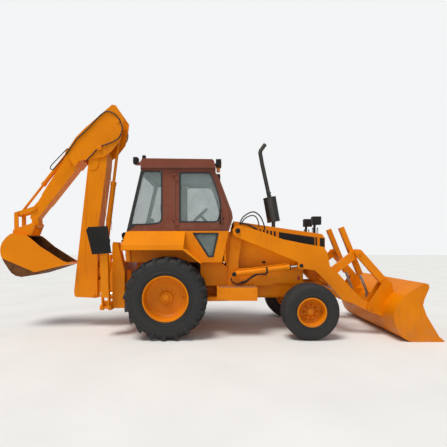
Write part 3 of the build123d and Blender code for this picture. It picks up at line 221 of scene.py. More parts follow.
@dataclass(frozen=True)
class Paint:
    """Sprayed machine enamel with uneven gloss, dust low down and small chips."""

    name: str
    colour: Colour
    faded: Colour
    dust: Colour = (0.30, 0.24, 0.17, 1.0)
    roughness: float = 0.36
    dirt_low: float = 0.05
    dirt_high: float = 1.5
    dirt: float = 0.30
    chips: float = 0.35

    def material(self) -> bpy.types.Material:
        """Build the paint's nodes.

        Returns:
            The material.
        """
        sheet = ShaderSheet(self.name)
        colour = sheet.blend(sheet.remap(sheet.noise(1.7, 4), 0.35, 0.7), self.colour, self.faded)
        low = sheet.combine(
            "MULTIPLY",
            sheet.height(self.dirt_low, self.dirt_high),
            sheet.remap(sheet.noise(9.0, 6), 0.4, 0.75, 0.1, 1.0),
        )
        colour = sheet.blend(sheet.remap(low, 0.0, 1.0, 0.0, self.dirt), colour, self.dust)
        streaks = sheet.remap(sheet.noise(7.0, 5, (3.0, 3.0, 0.35)), 0.58, 0.72, 0.0, 0.16)
        colour = sheet.blend(streaks, colour, (0.09, 0.05, 0.03, 1.0))
        chip = sheet.remap(sheet.noise(46.0, 7), 0.705, 0.72, 0.0, self.chips)
        colour = sheet.blend(chip, colour, (0.07, 0.04, 0.03, 1.0))
        sheet.link(colour, sheet.shader.inputs["Base Color"])
        rough = sheet.remap(sheet.noise(12.0, 5), 0.3, 0.75, self.roughness - 0.08, self.roughness + 0.16)
        sheet.link(rough, sheet.shader.inputs["Roughness"])
        sheet.shader.inputs["Coat Weight"].default_value = 0.04
        sheet.shader.inputs["Specular IOR Level"].default_value = 0.13
        sheet.shader.inputs["Coat Roughness"].default_value = 0.2
        sheet.bump(sheet.noise(240.0, 2), 0.00025)
        return sheet.material


@dataclass(frozen=True)
class ScoopPaint:
    """The scoop's paint, with painted shade as dark brown along the underside below its heel, and worn brown
    steel all over the inside.
    """

    name: str
    paint: Colour = (0.86, 0.255, 0.0, 1.0)
    faded: Colour = (0.76, 0.215, 0.0, 1.0)
    # These two dark browns colour the worn inner faces, and they also stand for painted shade along the
    # scoop's underside below the heel.
    steel: Colour = (0.105, 0.038, 0.012, 1.0)
    rust_and_shade: Colour = (0.19, 0.075, 0.025, 1.0)
    heel: Flat = (-3.266, 1.082)
    slopes: Flat = (-0.431, 0.234)
    reach: float = 2.0
    middle: Point = (-3.316, 0.0, 1.42)
    ears: Flat = (1.80, 1.78)

    def material(self) -> bpy.types.Material:
        """Build the paint, with a mask of painted shade below the heel's line and of wear on the inner faces.

        Returns:
            The material.
        """
        sheet = ShaderSheet(self.name)
        mask = sheet.combine("MAXIMUM", self.painted_heel_shade(sheet), self.inside(sheet))
        # The dark brown that the mask brings in: bare worn steel on the inside, painted shade below the heel.
        steel = sheet.blend(sheet.remap(sheet.noise(9.0, 6), 0.35, 0.7), self.steel, self.rust_and_shade)
        paint = sheet.blend(sheet.remap(sheet.noise(1.7, 4), 0.35, 0.7), self.paint, self.faded)
        sheet.link(sheet.blend(mask, paint, steel), sheet.shader.inputs["Base Color"])
        sheet.link(sheet.remap(mask, 0.0, 1.0, 0.4, 0.72), sheet.shader.inputs["Roughness"])
        sheet.shader.inputs["Specular IOR Level"].default_value = 0.15
        sheet.bump(sheet.noise(90.0, 5), 0.0012)
        return sheet.material

    def painted_heel_shade(self, sheet: ShaderSheet) -> Socket:
        """Painted shade: 1 below the two lines that rise from the heel, where the scoop's underside lies in
        shade, else 0.

        Args:
            sheet: The material's sheet.

        Returns:
            The mask's socket.
        """
        x, z = self.heel
        lines = []
        for slope in self.slopes:
            rise = slope * self.reach
            lines.append(sheet.remap(sheet.along("X"), x - self.reach, x + self.reach, z - rise, z + rise))
        return sheet.combine("LESS_THAN", sheet.along("Z"), sheet.combine("MAXIMUM", *lines))

    def inside(self, sheet: ShaderSheet) -> Socket:
        """1 on faces that look at the scoop's middle, below its ears.

        Args:
            sheet: The material's sheet.

        Returns:
            The mask's socket.
        """
        offset = sheet.tree.nodes.new("ShaderNodeVectorMath")
        offset.operation = "SUBTRACT"
        sheet.link(sheet.place, offset.inputs[0])
        offset.inputs[1].default_value = self.middle
        facing = sheet.tree.nodes.new("ShaderNodeVectorMath")
        facing.operation = "DOT_PRODUCT"
        sheet.link(offset.outputs[0], facing.inputs[0])
        sheet.link(sheet.normal, facing.inputs[1])
        inner = sheet.remap(facing.outputs["Value"], -0.045, -0.055)
        return sheet.combine("MULTIPLY", inner, sheet.remap(sheet.along("Z"), *self.ears))


@dataclass(frozen=True)
class Rubber:
    """Tyre or hose rubber: dark, matt, with grey dust in its grain."""

    name: str
    colour: Colour = (0.014, 0.014, 0.015, 1.0)
    dust: Colour = (0.040, 0.037, 0.033, 1.0)
    roughness: float = 0.78
    grain: float = 260.0

    def material(self) -> bpy.types.Material:
        """Build the rubber's nodes.

        Returns:
            The material.
        """
        sheet = ShaderSheet(self.name)
        worn = sheet.remap(sheet.noise(5.0, 7), 0.38, 0.72)
        colour = sheet.blend(sheet.remap(worn, 0.0, 1.0, 0.0, 0.55), self.colour, self.dust)
        sheet.link(colour, sheet.shader.inputs["Base Color"])
        rough = sheet.remap(worn, 0.0, 1.0, self.roughness - 0.14, self.roughness + 0.1)
        sheet.link(rough, sheet.shader.inputs["Roughness"])
        sheet.bump(sheet.noise(self.grain, 4), 0.0006)
        return sheet.material


@dataclass(frozen=True)
class Metal:
    """Bare or plated metal with fine lengthwise marks."""

    name: str
    colour: Colour
    stain: Colour
    roughness: float = 0.16
    stained: float = 0.25
    marks: float = 420.0

    def material(self) -> bpy.types.Material:
        """Build the metal's nodes.

        Returns:
            The material.
        """
        sheet = ShaderSheet(self.name)
        share = sheet.remap(sheet.noise(14.0, 6), 0.5, 0.78, 0.0, self.stained)
        sheet.link(sheet.blend(share, self.colour, self.stain), sheet.shader.inputs["Base Color"])
        rough = sheet.remap(sheet.noise(30.0, 5), 0.3, 0.8, self.roughness * 0.6, self.roughness * 1.8)
        sheet.link(rough, sheet.shader.inputs["Roughness"])
        sheet.shader.inputs["Metallic"].default_value = 1.0
        sheet.bump(sheet.noise(self.marks, 3, (0.2, 0.2, 1.0)), 0.0002)
        return sheet.material


@dataclass(frozen=True)
class Glass:
    """Thin window glass with a faint tint and a film of dust."""

    name: str
    tint: Colour = (0.34, 0.43, 0.42, 1.0)
    film: float = 0.26

    def material(self) -> bpy.types.Material:
        """Build a clear shader whose opacity follows the dust film.

        Returns:
            The material.
        """
        sheet = ShaderSheet(self.name)
        sheet.shader.inputs["Base Color"].default_value = self.tint
        sheet.shader.inputs["IOR"].default_value = 1.45
        dust = sheet.noise(4.0, 6)
        sheet.link(sheet.remap(dust, 0.35, 0.8, 0.03, 0.2), sheet.shader.inputs["Roughness"])
        sheet.link(sheet.remap(dust, 0.3, 0.8, self.film, self.film + 0.16), sheet.shader.inputs["Alpha"])
        return sheet.material


@dataclass(frozen=True)
class Lens:
    """Coloured or clear lamp lens with a ribbed face."""

    name: str
    colour: Colour
    ribs: float = 160.0

    def material(self) -> bpy.types.Material:
        """Build the lens's nodes.

        Returns:
            The material.
        """
        sheet = ShaderSheet(self.name)
        ribs = sheet.tree.nodes.new("ShaderNodeTexWave")
        ribs.inputs["Scale"].default_value = self.ribs
        sheet.link(sheet.place, ribs.inputs["Vector"])
        deep = tuple(0.7 * part for part in self.colour[:3]) + (1.0,)
        mixed = sheet.blend(sheet.remap(sheet.noise(30.0), 0.3, 0.7), self.colour, deep)
        sheet.link(mixed, sheet.shader.inputs["Base Color"])
        sheet.shader.inputs["Roughness"].default_value = 0.14
        sheet.shader.inputs["Coat Weight"].default_value = 0.6
        sheet.bump(ribs.outputs["Fac"], 0.0008)
        return sheet.material


@dataclass(frozen=True)
class Vinyl:
    """Grained black seat vinyl."""

    name: str
    colour: Colour = (0.020, 0.018, 0.017, 1.0)
    worn: Colour = (0.060, 0.055, 0.050, 1.0)

    def material(self) -> bpy.types.Material:
        """Build the vinyl's nodes.

        Returns:
            The material.
        """
        sheet = ShaderSheet(self.name)
        rubbed = sheet.remap(sheet.noise(6.0, 5), 0.45, 0.75, 0.0, 0.5)
        sheet.link(sheet.blend(rubbed, self.colour, self.worn), sheet.shader.inputs["Base Color"])
        sheet.link(sheet.remap(sheet.noise(18.0, 4), 0.3, 0.7, 0.38, 0.6), sheet.shader.inputs["Roughness"])
        cells = sheet.tree.nodes.new("ShaderNodeTexVoronoi")
        cells.inputs["Scale"].default_value = 420.0
        sheet.link(sheet.place, cells.inputs["Vector"])
        sheet.bump(cells.outputs["Distance"], 0.0007)
        return sheet.material


ORANGE = Paint("orange_enamel", (0.86, 0.255, 0.0, 1.0), (0.76, 0.215, 0.0, 1.0), dirt=0.08)
RIM_ORANGE = Paint("rim_enamel", (0.80, 0.235, 0.0, 1.0), (0.66, 0.185, 0.001, 1.0), dirt_high=0.9, dirt=0.12)
BUCKET_ORANGE = Paint(
    "bucket_enamel", (0.82, 0.24, 0.0, 1.0), (0.68, 0.19, 0.001, 1.0), dirt_high=0.5, dirt=0.25, chips=0.6
)
BROWN = Paint(
    "cab_brown", (0.215, 0.062, 0.036, 1.0), (0.18, 0.052, 0.030, 1.0),
    dirt_low=1.8, dirt_high=3.2, dirt=0.18, roughness=0.42,
)
BLACK = Paint(
    "satin_black", (0.014, 0.014, 0.014, 1.0), (0.024, 0.023, 0.022, 1.0), dirt=0.35, roughness=0.5, chips=0.2
)
TYRE = Rubber("tyre_rubber_dusty")
HOSE = Rubber("hose_rubber", roughness=0.5, grain=500.0)
ROD = Metal("rod_chrome_plate", (0.80, 0.81, 0.82, 1.0), (0.35, 0.30, 0.24, 1.0), roughness=0.12)
STEEL = Metal("zinc_steel", (0.42, 0.41, 0.38, 1.0), (0.16, 0.11, 0.07, 1.0), roughness=0.34, stained=0.6)
MUFFLER = Metal(
    "heat_dulled_steel", (0.085, 0.083, 0.076, 1.0), (0.13, 0.07, 0.04, 1.0), roughness=0.42, stained=0.5
)
CAST = Metal(
    "engine_cast_grey", (0.10, 0.10, 0.095, 1.0), (0.05, 0.035, 0.025, 1.0), roughness=0.5, stained=0.6
)
CLEAR = Glass("cab_glass_clear")
SCOOP = ScoopPaint("scoop_enamel")
WORN = Paint(
    "worn_brown_steel", (0.20, 0.085, 0.035, 1.0), (0.12, 0.06, 0.035, 1.0),
    dirt_high=2.5, dirt=0.5, roughness=0.6, chips=0.8,
)
AMBER = Lens("amber_lens", (0.85, 0.25, 0.01, 1.0))
LAMP = Lens("clear_lens", (0.80, 0.82, 0.80, 1.0))
RED = Lens("red_lens", (0.50, 0.01, 0.01, 1.0))
VINYL = Vinyl("seat_vinyl_black")
Finish = Paint | ScoopPaint | Rubber | Metal | Glass | Lens | Vinyl


class Workshop:
    """Makes pieces from points and hands each one its body and finish."""

    def __init__(self) -> None:
        """Start with no materials made."""
        self.made: dict[str, bpy.types.Material] = {}

    def finish(self, finish: Finish) -> bpy.types.Material:
        """The material of a finish, made once.

        Args:
            finish: The finish wanted.

        Returns:
            Its material.
        """
        if finish.name not in self.made:
            self.made[finish.name] = finish.material()
        return self.made[finish.name]

    def dress(self, node: str, finish: Finish) -> None:
        """Give a CAD node a finish.

        Args:
            node: The CAD node's name.
            finish: The finish it takes.
        """
        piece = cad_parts[node]
        material = self.finish(finish)
        if not piece.material_slots:
            piece.data.materials.append(material)
        for place in piece.material_slots:
            place.material = material

    def piece(self, name: str, shape: Shape, body: str, slot: Slot, finish: Finish) -> bpy.types.Object:
        """Turn a shape into a piece that rides on a body.

        Args:
            name: The piece's name.
            shape: Its mesh, in metres in the object's frame. It is freed.
            body: The CAD body that carries it.
            slot: The material slot that it stands for; not used.
            finish: Its finish.

        Returns:
            The new piece.
        """
        bmesh.ops.remove_doubles(shape, verts=shape.verts, dist=1e-5)
        bmesh.ops.recalc_face_normals(shape, faces=shape.faces)
        mesh = bpy.data.meshes.new(name)
        shape.to_mesh(mesh)
        shape.free()
        for face in mesh.polygons:
            face.use_smooth = True
        mesh.set_sharp_from_angle(angle=SHARP_ANGLE)
        mesh.materials.append(self.finish(finish))
        piece = bpy.data.objects.new(name, mesh)
        bpy.context.scene.collection.objects.link(piece)
        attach(piece, body)
        return piece


def circle(sides: int) -> list[Flat]:
    """Cosine and sine at even steps round a circle."""
    angles = (2 * math.pi * step / sides for step in range(sides))
    return [(math.cos(angle), math.sin(angle)) for angle in angles]


def prism(shape: Shape, outline: Sequence[Flat], inner: float, outer: float) -> None:
    """Add a plate whose side outline is given.

    Args:
        shape: The mesh that it is added to.
        outline: Corners as (distance forward of the rear axle, height).
        inner: Y of one face.
        outer: Y of the other face.
    """
    near = [shape.verts.new((station(x), inner, z)) for x, z in outline]
    far = [shape.verts.new((station(x), outer, z)) for x, z in outline]
    skin(shape, [near, far])


def skin(shape: Shape, rings: list[Ring], closed: bool = False) -> None:
    """Join rings of equally many corners with faces.

    Args:
        shape: The mesh that holds the rings.
        rings: The rings in order.
        closed: True joins the last ring to the first, else both ends get caps.
    """
    pairs = list(zip(rings, rings[1:])) + ([(rings[-1], rings[0])] if closed else [])
    for first, second in pairs:
        count = len(first)
        for step in range(count):
            corners = (first[step], first[(step + 1) % count], second[(step + 1) % count], second[step])
            shape.faces.new(corners)
    if not closed:
        shape.faces.new(rings[0])
        shape.faces.new(rings[-1])


def soft_block(shape: Shape, low: Point, high: Point, round_off: float = 0.003) -> None:
    """Add a block with bevelled edges.

    Args:
        shape: The mesh that it is added to.
        low: Its lowest corner.
        high: Its highest corner.
        round_off: Width of the bevel.
    """
    size = placed(high) - placed(low)
    middle = (placed(high) + placed(low)) / 2
    stretched = Matrix.Translation(middle) @ Matrix.Diagonal((*size, 1.0))
    made = bmesh.ops.create_cube(shape, size=1.0, matrix=stretched)
    edges = list({edge for vert in made["verts"] for edge in vert.link_edges})
    limit = 0.45 * min(abs(part) for part in size)
    bmesh.ops.bevel(shape, geom=edges, offset=min(round_off, limit), segments=2, profile=0.6, affect="EDGES")


def disc(
    shape: Shape, centre: Point, way: Point, profile: Sequence[Flat], sides: int = 24, closed: bool = False
) -> None:
    """Add a turned piece.

    Args:
        shape: The mesh that it is added to.
        centre: Where its axis starts.
        way: The axis's direction.
        profile: (radius, distance along the axis) from one end to the other.
        sides: Number of flats round it.
        closed: True makes a ring whose section is the profile.
    """
    turn = Vector((0, 0, 1)).rotation_difference(Vector(way).normalized()).to_matrix()
    rings = []
    for radius, along in profile:
        spots = (turn @ Vector((radius * x, radius * y, along)) for x, y in circle(sides))
        rings.append([shape.verts.new(placed(centre) + spot) for spot in spots])
    skin(shape, rings, closed)


def bolt(shape: Shape, centre: Point, way: Point, size: float) -> None:
    """Add a washer and a six-sided head.

    Args:
        shape: The mesh that it is added to.
        centre: Where the washer sits.
        way: Direction that the head points.
        size: Radius of the head.
    """
    washer = [(size * 1.45, -0.001), (size * 1.45, size * 0.22), (size, size * 0.24)]
    disc(shape, centre, way, washer, 20)
    head = Vector(centre) + Vector(way).normalized() * size * 0.2
    disc(shape, tuple(head), way, [(size, 0.0), (size, size * 0.6), (size * 0.85, size * 0.75)], 6)


def pipe(shape: Shape, points: Sequence[Point], radius: float, sides: int = 12, steps: int = 6) -> None:
    """Add a bent round tube along a smooth line through points.

    Args:
        shape: The mesh that it is added to.
        points: The places that the tube passes.
        radius: Its radius.
        sides: Number of flats round it.
        steps: Sections between two points.
    """
    line = smooth_line(points, steps)
    rings = []
    normal = None
    for place, spot in enumerate(line):
        before = line[max(place - 1, 0)]
        after = line[min(place + 1, len(line) - 1)]
        tangent = (after - before).normalized()
        if normal is None:
            normal = tangent.orthogonal().normalized()
        normal = (normal - tangent * normal.dot(tangent)).normalized()
        across = tangent.cross(normal)
        rings.append([shape.verts.new(spot + radius * (x * normal + y * across)) for x, y in circle(sides)])
    skin(shape, rings)


def smooth_line(points: Sequence[Point], steps: int) -> list[Vector]:
    """Points of a smooth line through the given ones.

    Args:
        points: The places that the line passes.
        steps: Sections between two places.

    Returns:
        The line's points, the first and the last given ones included.
    """
    spots = [placed(point) for point in points]
    if len(spots) == 2:
        return spots
    line = []
    for place in range(len(spots) - 1):
        first = spots[max(place - 1, 0)]
        start, end = spots[place], spots[place + 1]
        last = spots[min(place + 2, len(spots) - 1)]
        for step in range(steps):
            t = step / steps
            line.append(
                0.5 * (
                    2 * start
                    + (end - first) * t
                    + (2 * first - 5 * start + 4 * end - last) * t**2
                    + (3 * start - first - 3 * end + last) * t**3
                )
            )
    line.append(spots[-1])
    return line


@dataclass
class FrameFinishes:
    """Which finish each CAD node takes."""

    plain: dict[str, Finish] = field(default_factory=lambda: {
        "engine": CAST,
        "exhaust": MUFFLER,
        "cab_shell": BROWN,
        "cab_roof": BROWN,
        "door_right": BROWN,
        "door_left": BROWN,
        "seat": VINYL,
        "steering_console": BLACK,
        "loader_bucket": BUCKET_ORANGE,
        "backhoe_bucket": SCOOP,
    })

    def dress(self, shop: Workshop) -> None:
        """Give every CAD node its finish.

        Args:
            shop: Where finishes are made.
        """
        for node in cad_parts:
            shop.dress(node, self.finish_for(node))

    def finish_for(self, node: str) -> Finish:
        """The finish of a CAD node.

        Args:
            node: The node's name.

        Returns:
            Its finish, the orange enamel unless told otherwise.
        """
        if node in self.plain:
            return self.plain[node]
        # The tilt rods take the dull stained zinc steel rather than the chrome: painted shade, the dark that
        # their chrome shows in shadow.
        rules = (
            ("tyre", TYRE), ("_rim", RIM_ORANGE), ("lift_rods", ROD), ("tilt_rods", STEEL),
            ("swing_rod", ROD), ("jack_rod", ROD), ("glass", CLEAR), ("_pad", BLACK),
        )
        for part, finish in rules:
            if part in node:
                return finish
        # The boom, dipper and curl cylinders' rods are not listed above, so they take the orange enamel:
        # painted reflection, the orange that their chrome picks up from the paint round them.
        return ORANGE


HOOD_TOP = (1.288, 2.025)
HOOD_NOSE = (2.815, 1.802)
HOOD_HALF = 0.420


def rounded(outline: Sequence[Flat], radius: float, steps: int = 5) -> list[Flat]:
    """Round the corners of a flat outline.

    Args:
        outline: Its corners in order.
        radius: How far from each corner the round starts.
        steps: Points in each round.

    Returns:
        The rounded outline's points.
    """
    result = []
    count = len(outline)
    for place in range(count):
        corner = Vector(outline[place])
        before = Vector(outline[place - 1]) - corner
        after = Vector(outline[(place + 1) % count]) - corner
        start = corner + before.normalized() * min(radius, before.length * 0.45)
        end = corner + after.normalized() * min(radius, after.length * 0.45)
        for step in range(steps + 1):
            t = step / steps
            spot = start * (1 - t) ** 2 + corner * 2 * t * (1 - t) + end * t**2
            result.append((spot.x, spot.y))
    return result


def inset(loop: Sequence[Flat], width: float) -> list[tuple[Vector, Vector]]:
    """Each point of a flat loop with the point that lies a width further in.

    Args:
        loop: The loop's points in order.
        width: How far in the second point lies.

    Returns:
        The pairs, in the order of the loop.
    """
    middle = sum((Vector(spot) for spot in loop), Vector((0.0, 0.0))) / len(loop)
    pairs = []
    for place, spot in enumerate(loop):
        here = Vector(spot)
        along = Vector(loop[(place + 1) % len(loop)]) - Vector(loop[place - 1])
        inward = Vector((-along.y, along.x)).normalized()
        if inward.dot(middle - here) < 0:
            inward = -inward
        pairs.append((here, here + inward * width))
    return pairs


def frame_strip(
    shape: Shape, outline: Sequence[Flat], width: float, inner: float, outer: float, radius: float = 0.05
) -> None:
    """Add a flat frame that follows a rounded side outline.

    Args:
        shape: The mesh that it is added to.
        outline: The frame's outer corners, forward of the rear axle and height.
        width: Width of the frame, measured inward.
        inner: Y of its inner face.
        outer: Y of its outer face.
        radius: Rounding of the corners.
    """
    rings = []
    for here, near in inset(rounded(outline, radius), width):
        corners = ((here, inner), (here, outer), (near, outer), (near, inner))
        rings.append([shape.verts.new((station(spot.x), y, spot.y)) for spot, y in corners])
    skin(shape, rings, closed=True)


class Fittings:
    """A sub-assembly of added pieces."""

    def build(self, shop: Workshop) -> None:
        """Make the pieces and put each on its body.

        Args:
            shop: Where pieces are made.
        """
        raise NotImplementedError


@dataclass
class Glazing(Fittings):
    """Black rubber seals round every window, the dark rear posts, and black plates behind the lower windows
    that are painted shade for the dark inside seen through them.
    """

    seal: float = 0.024
    door_window: Outline = (
        (0.190, 1.992), (0.190, 2.880), (0.740, 2.880), (0.820, 2.720),
        (0.925, 2.388), (0.940, 2.200), (0.880, 1.992),
    )
    rear_window: Outline = (
        (-0.103, 2.040), (-0.103, 2.905), (-0.455, 2.905), (-0.680, 1.940), (-0.330, 1.950), (-0.150, 1.975),
    )
    lower_window: Outline = ((0.424, 1.812), (0.892, 1.812), (0.795, 1.380), (0.700, 1.380))
    lower_painted_shade: Outline = ((0.410, 1.825), (0.910, 1.825), (0.810, 1.365), (0.685, 1.365))
    rear_post: Outline = (
        (-0.757, 1.745), (-0.481, 2.925), (-0.452, 2.905), (-0.680, 1.940), (-0.560, 1.945), (-0.700, 1.850),
    )

    def build(self, shop: Workshop) -> None:
        """Make the seals of both sides, the rear pane and the windscreen.

        Args:
            shop: Where pieces are made.
        """
        for sign, name in SIDE_NAMES.items():
            door = bmesh.new()
            frame_strip(door, self.door_window, self.seal, sign * 0.735, sign * 0.768, 0.07)
            shop.piece(f"door_seal_{name}", door, f"door_body_{name}", Slot.RUBBER, HOSE)
            fixed = bmesh.new()
            frame_strip(fixed, self.rear_window, self.seal, sign * 0.735, sign * 0.765, 0.06)
            frame_strip(fixed, self.lower_window, self.seal + 0.006, sign * 0.735, sign * 0.766, 0.04)
            prism(fixed, self.rear_post, sign * 0.7595, sign * 0.7640)
            shop.piece(f"side_seal_{name}", fixed, "chassis", Slot.RUBBER, HOSE)
            # A black plate behind each lower window: painted shade, standing in for the dark cab seen through
            # the glass.
            shade = bmesh.new()
            prism(shade, self.lower_painted_shade, sign * 0.690, sign * 0.700)
            shop.piece(f"lower_window_painted_shade_{name}", shade, "chassis", Slot.BLACK, BLACK)
        ends = bmesh.new()
        rear = [(-0.660, 1.935), (0.660, 1.935), (0.660, 2.880), (-0.660, 2.880)]
        front = [(-0.680, 2.110), (0.680, 2.110), (0.680, 2.880), (-0.680, 2.880)]
        self.end_seal(ends, rear, (-0.7135, 1.935), (-0.493, 2.880), -0.004)
        self.end_seal(ends, front, (1.132, 2.110), (0.833, 2.880), 0.004)
        shop.piece("end_window_seals", ends, "chassis", Slot.RUBBER, HOSE)

    def end_seal(self, shape: Shape, window: Sequence[Flat], foot: Flat, head: Flat, proud: float) -> None:
        """Add the seal of a window in an end wall that leans.

        Args:
            shape: The mesh that it is added to.
            window: Corners as (Y, height).
            foot: Place and height of the wall at the window's foot.
            head: Place and height of the wall at its head.
            proud: How far the seal stands out of the wall.
        """
        lean = (head[0] - foot[0]) / (head[1] - foot[1])
        rings = []
        for here, near in inset(rounded(window, 0.07), self.seal):
            ring = []
            for spot, out in ((here, -6 * proud), (here, proud), (near, proud), (near, -6 * proud)):
                wall = foot[0] + (spot.y - foot[1]) * lean
                ring.append(shape.verts.new((station(wall + out), spot.x, spot.y)))
            rings.append(ring)
        skin(shape, rings, closed=True)


@dataclass
class RoofFittings(Fittings):
    """The work lamps at the roof's four corners, with their lenses, turn lamps and gutters."""

    lamp_y: float = 0.620
    front_lens: Outline = ((0.060, 0.0), (0.060, 0.004), (0.035, 0.009), (0.004, 0.010))
    rear_lens: Outline = ((0.052, 0.0), (0.052, 0.004), (0.030, 0.009), (0.004, 0.010))
    cap: Outline = ((0.030, 0.0), (0.034, 0.012), (0.034, 0.075), (0.028, 0.085))

    def build(self, shop: Workshop) -> None:
        """Make the lamps.

        Args:
            shop: Where pieces are made.
        """
        black, lens, amber = bmesh.new(), bmesh.new(), bmesh.new()
        for sign in SIDE_NAMES:
            y = sign * self.lamp_y
            soft_block(black, (0.838, y - 0.080, 2.990), (0.932, y + 0.080, 3.130), 0.014)
            disc(lens, (0.931, y, 3.060), (1, 0, 0), self.front_lens)
            soft_block(amber, (0.850, y - 0.035, 2.905), (0.915, y + 0.035, 2.990), 0.016)
            soft_block(black, (-0.642, y - 0.070, 3.050), (-0.558, y + 0.070, 3.170), 0.014)
            disc(lens, (-0.641, y, 3.110), (-1, 0, 0), self.rear_lens)
            soft_block(black, (-0.475, sign * 0.700, 2.935), (-0.400, sign * 0.792, 3.090), 0.010)
            disc(black, (-0.430, sign * 0.745, 3.090), (0, 0, 1), self.cap)
            soft_block(amber, (-0.482, sign * 0.705, 2.970), (-0.470, sign * 0.785, 3.060), 0.004)
            for x in (0.800, -0.520):
                bolt(black, (x, y, 3.100), (0, 0, 1), 0.010)
        shop.piece("roof_lamp_housings", black, "chassis", Slot.BLACK, BLACK)
        shop.piece("roof_lamp_lenses", lens, "chassis", Slot.GLASS, LAMP)
        shop.piece("roof_turn_lamps", amber, "chassis", Slot.GLASS, AMBER)
        gutter = bmesh.new()
        for sign in SIDE_NAMES:
            soft_block(gutter, (-0.470, sign * 0.798, 2.934), (0.815, sign * 0.806, 2.946), 0.003)
        shop.piece("roof_gutters", gutter, "chassis", Slot.BLACK, HOSE)


def hood_line(x: float) -> float:
    """Height of the hood's upper edge at a place forward of the rear axle."""
    return HOOD_TOP[1] + (x - HOOD_TOP[0]) * (HOOD_NOSE[1] - HOOD_TOP[1]) / (HOOD_NOSE[0] - HOOD_TOP[0])


def slanted_bar(shape: Shape, span: Flat, drop: Flat, sign: float, proud: float = 0.004) -> None:
    """Add a thin plate on the hood's side whose top and foot follow the hood's upper edge.

    Args:
        shape: The mesh that it is added to.
        span: Where it starts and ends, forward of the rear axle.
        drop: Depth of its top and of its foot below the hood's upper edge.
        sign: Which side of the machine.
        proud: How far it stands out.
    """
    outline = [(span[0], hood_line(span[0]) - drop[0]), (span[1], hood_line(span[1]) - drop[0])]
    outline += [(span[1], hood_line(span[1]) - drop[1]), (span[0], hood_line(span[0]) - drop[1])]
    prism(shape, outline, sign * (HOOD_HALF - 0.001), sign * (HOOD_HALF + proud))


@dataclass
class HoodTrim(Fittings):
    """The black band with its upright bars, the screen behind the grille, the lamps and the latches."""

    bars: int = 5
    bar_start: float = 1.652
    bar_pitch: float = 0.066
    band: Flat = (2.012, 2.675)
    nose_bars: Outline = ((2.692, 2.722), (2.775, 2.862))
    lamp_y: float = 0.300
    lens: Outline = ((0.068, 0.0), (0.068, 0.006), (0.040, 0.014), (0.004, 0.016))
    collar: Outline = ((0.024, 0.0), (0.024, 0.060), (0.016, 0.066))

    def build(self, shop: Workshop) -> None:
        """Make the trim of both sides and the nose.

        Args:
            shop: Where pieces are made.
        """
        band, base, screen, black = bmesh.new(), bmesh.new(), bmesh.new(), bmesh.new()
        for sign in SIDE_NAMES:
            slanted_bar(base, (1.640, 1.985), (0.055, 0.225), sign, 0.0015)
            for place in range(self.bars):
                start = self.bar_start + place * self.bar_pitch
                slanted_bar(band, (start, start + 0.024 + 0.003 * place), (0.078, 0.205), sign)
            for place in range(3):
                start = 1.470 + place * 0.055
                slanted_bar(band, (start, start + 0.026), (0.085, 0.135 + 0.018 * place), sign)
            slanted_bar(band, self.band, (0.080, 0.268), sign)
            for span in self.nose_bars:
                slanted_bar(band, span, (0.075, 0.268), sign)
            soft_block(black, (1.700, sign * 0.421, 1.262), (1.760, sign * 0.434, 1.300), 0.004)
            soft_block(black, (2.640, sign * 0.421, 1.262), (2.700, sign * 0.434, 1.300), 0.004)
        soft_block(screen, (2.842, -0.335, 1.222), (2.850, 0.335, 1.690), 0.001)
        shop.piece("hood_band", band, "chassis", Slot.BLACK, BLACK)
        shop.piece("hood_bar_field", base, "chassis", Slot.ORANGE, ORANGE)
        shop.piece("grille_screen", screen, "chassis", Slot.BLACK, BLACK)
        shop.piece("hood_latches", black, "chassis", Slot.BLACK, BLACK)
        self.lamps(shop)

    def lamps(self, shop: Workshop) -> None:
        """Make the two work lamps on the hood, with wire guards round their stalks.

        Args:
            shop: Where pieces are made.
        """
        shell, lens, wires = bmesh.new(), bmesh.new(), bmesh.new()
        for sign in SIDE_NAMES:
            y = sign * self.lamp_y
            soft_block(shell, (2.662, y - 0.073, 1.980), (2.818, y + 0.073, 2.136), 0.003)
            soft_block(shell, (2.692, y - 0.018, 1.795), (2.728, y + 0.018, 1.992), 0.002)
            disc(lens, (2.816, y, 2.058), (1, 0, 0), self.lens, 28)
            disc(shell, (2.710, y, 1.930), (0, 0, 1), self.collar, 16)
            for x in (2.675, 2.765):
                wire = [(x, y - 0.035, hood_line(x) - 0.004), (x, y - 0.030, 1.900)]
                wire += [(x, y, 1.925), (x, y + 0.030, 1.900), (x, y + 0.035, hood_line(x) - 0.004)]
                pipe(wires, wire, 0.006, 8, 5)
        shop.piece("hood_lamp_shells", shell, "chassis", Slot.BLACK, BLACK)
        shop.piece("hood_lamp_lenses", lens, "chassis", Slot.GLASS, LAMP)
        shop.piece("hood_lamp_wires", wires, "chassis", Slot.BLACK, BLACK)


@dataclass
class StackFittings(Fittings):
    """The muffler's end seams, its clamp and the stack's joint."""

    foot: Flat = (1.955, 2.045)
    head: Flat = (1.873, 2.514)
    y: float = -0.190

    def build(self, shop: Workshop) -> None:
        """Make the bands.

        Args:
            shop: Where pieces are made.
        """
        shape = bmesh.new()
        way = (self.head[0] - self.foot[0], 0.0, self.head[1] - self.foot[1])
        length = math.hypot(way[0], way[2])
        for share in (0.02, 0.975):
            spot = [self.foot[0] + share * way[0], self.foot[1] + share * way[2]]
            ring = [(0.119, -0.010), (0.127, -0.006), (0.127, 0.006), (0.119, 0.010)]
            disc(shape, (spot[0], self.y, spot[1]), way, ring, 40)
        for along, radius in ((length + 0.030, 0.046), (length + 0.075, 0.044), (length + 0.090, 0.047)):
            spot = [self.foot[0] + along / length * way[0], self.foot[1] + along / length * way[2]]
            ring = [(0.037, -0.008), (radius, -0.006), (radius, 0.006), (0.037, 0.008)]
            disc(shape, (spot[0], self.y, spot[1]), way, ring, 28)
        soft_block(shape, (1.855, self.y - 0.062, 2.560), (1.880, self.y - 0.040, 2.600), 0.003)
        shop.piece("muffler_bands", shape, "chassis", Slot.GREY, MUFFLER)


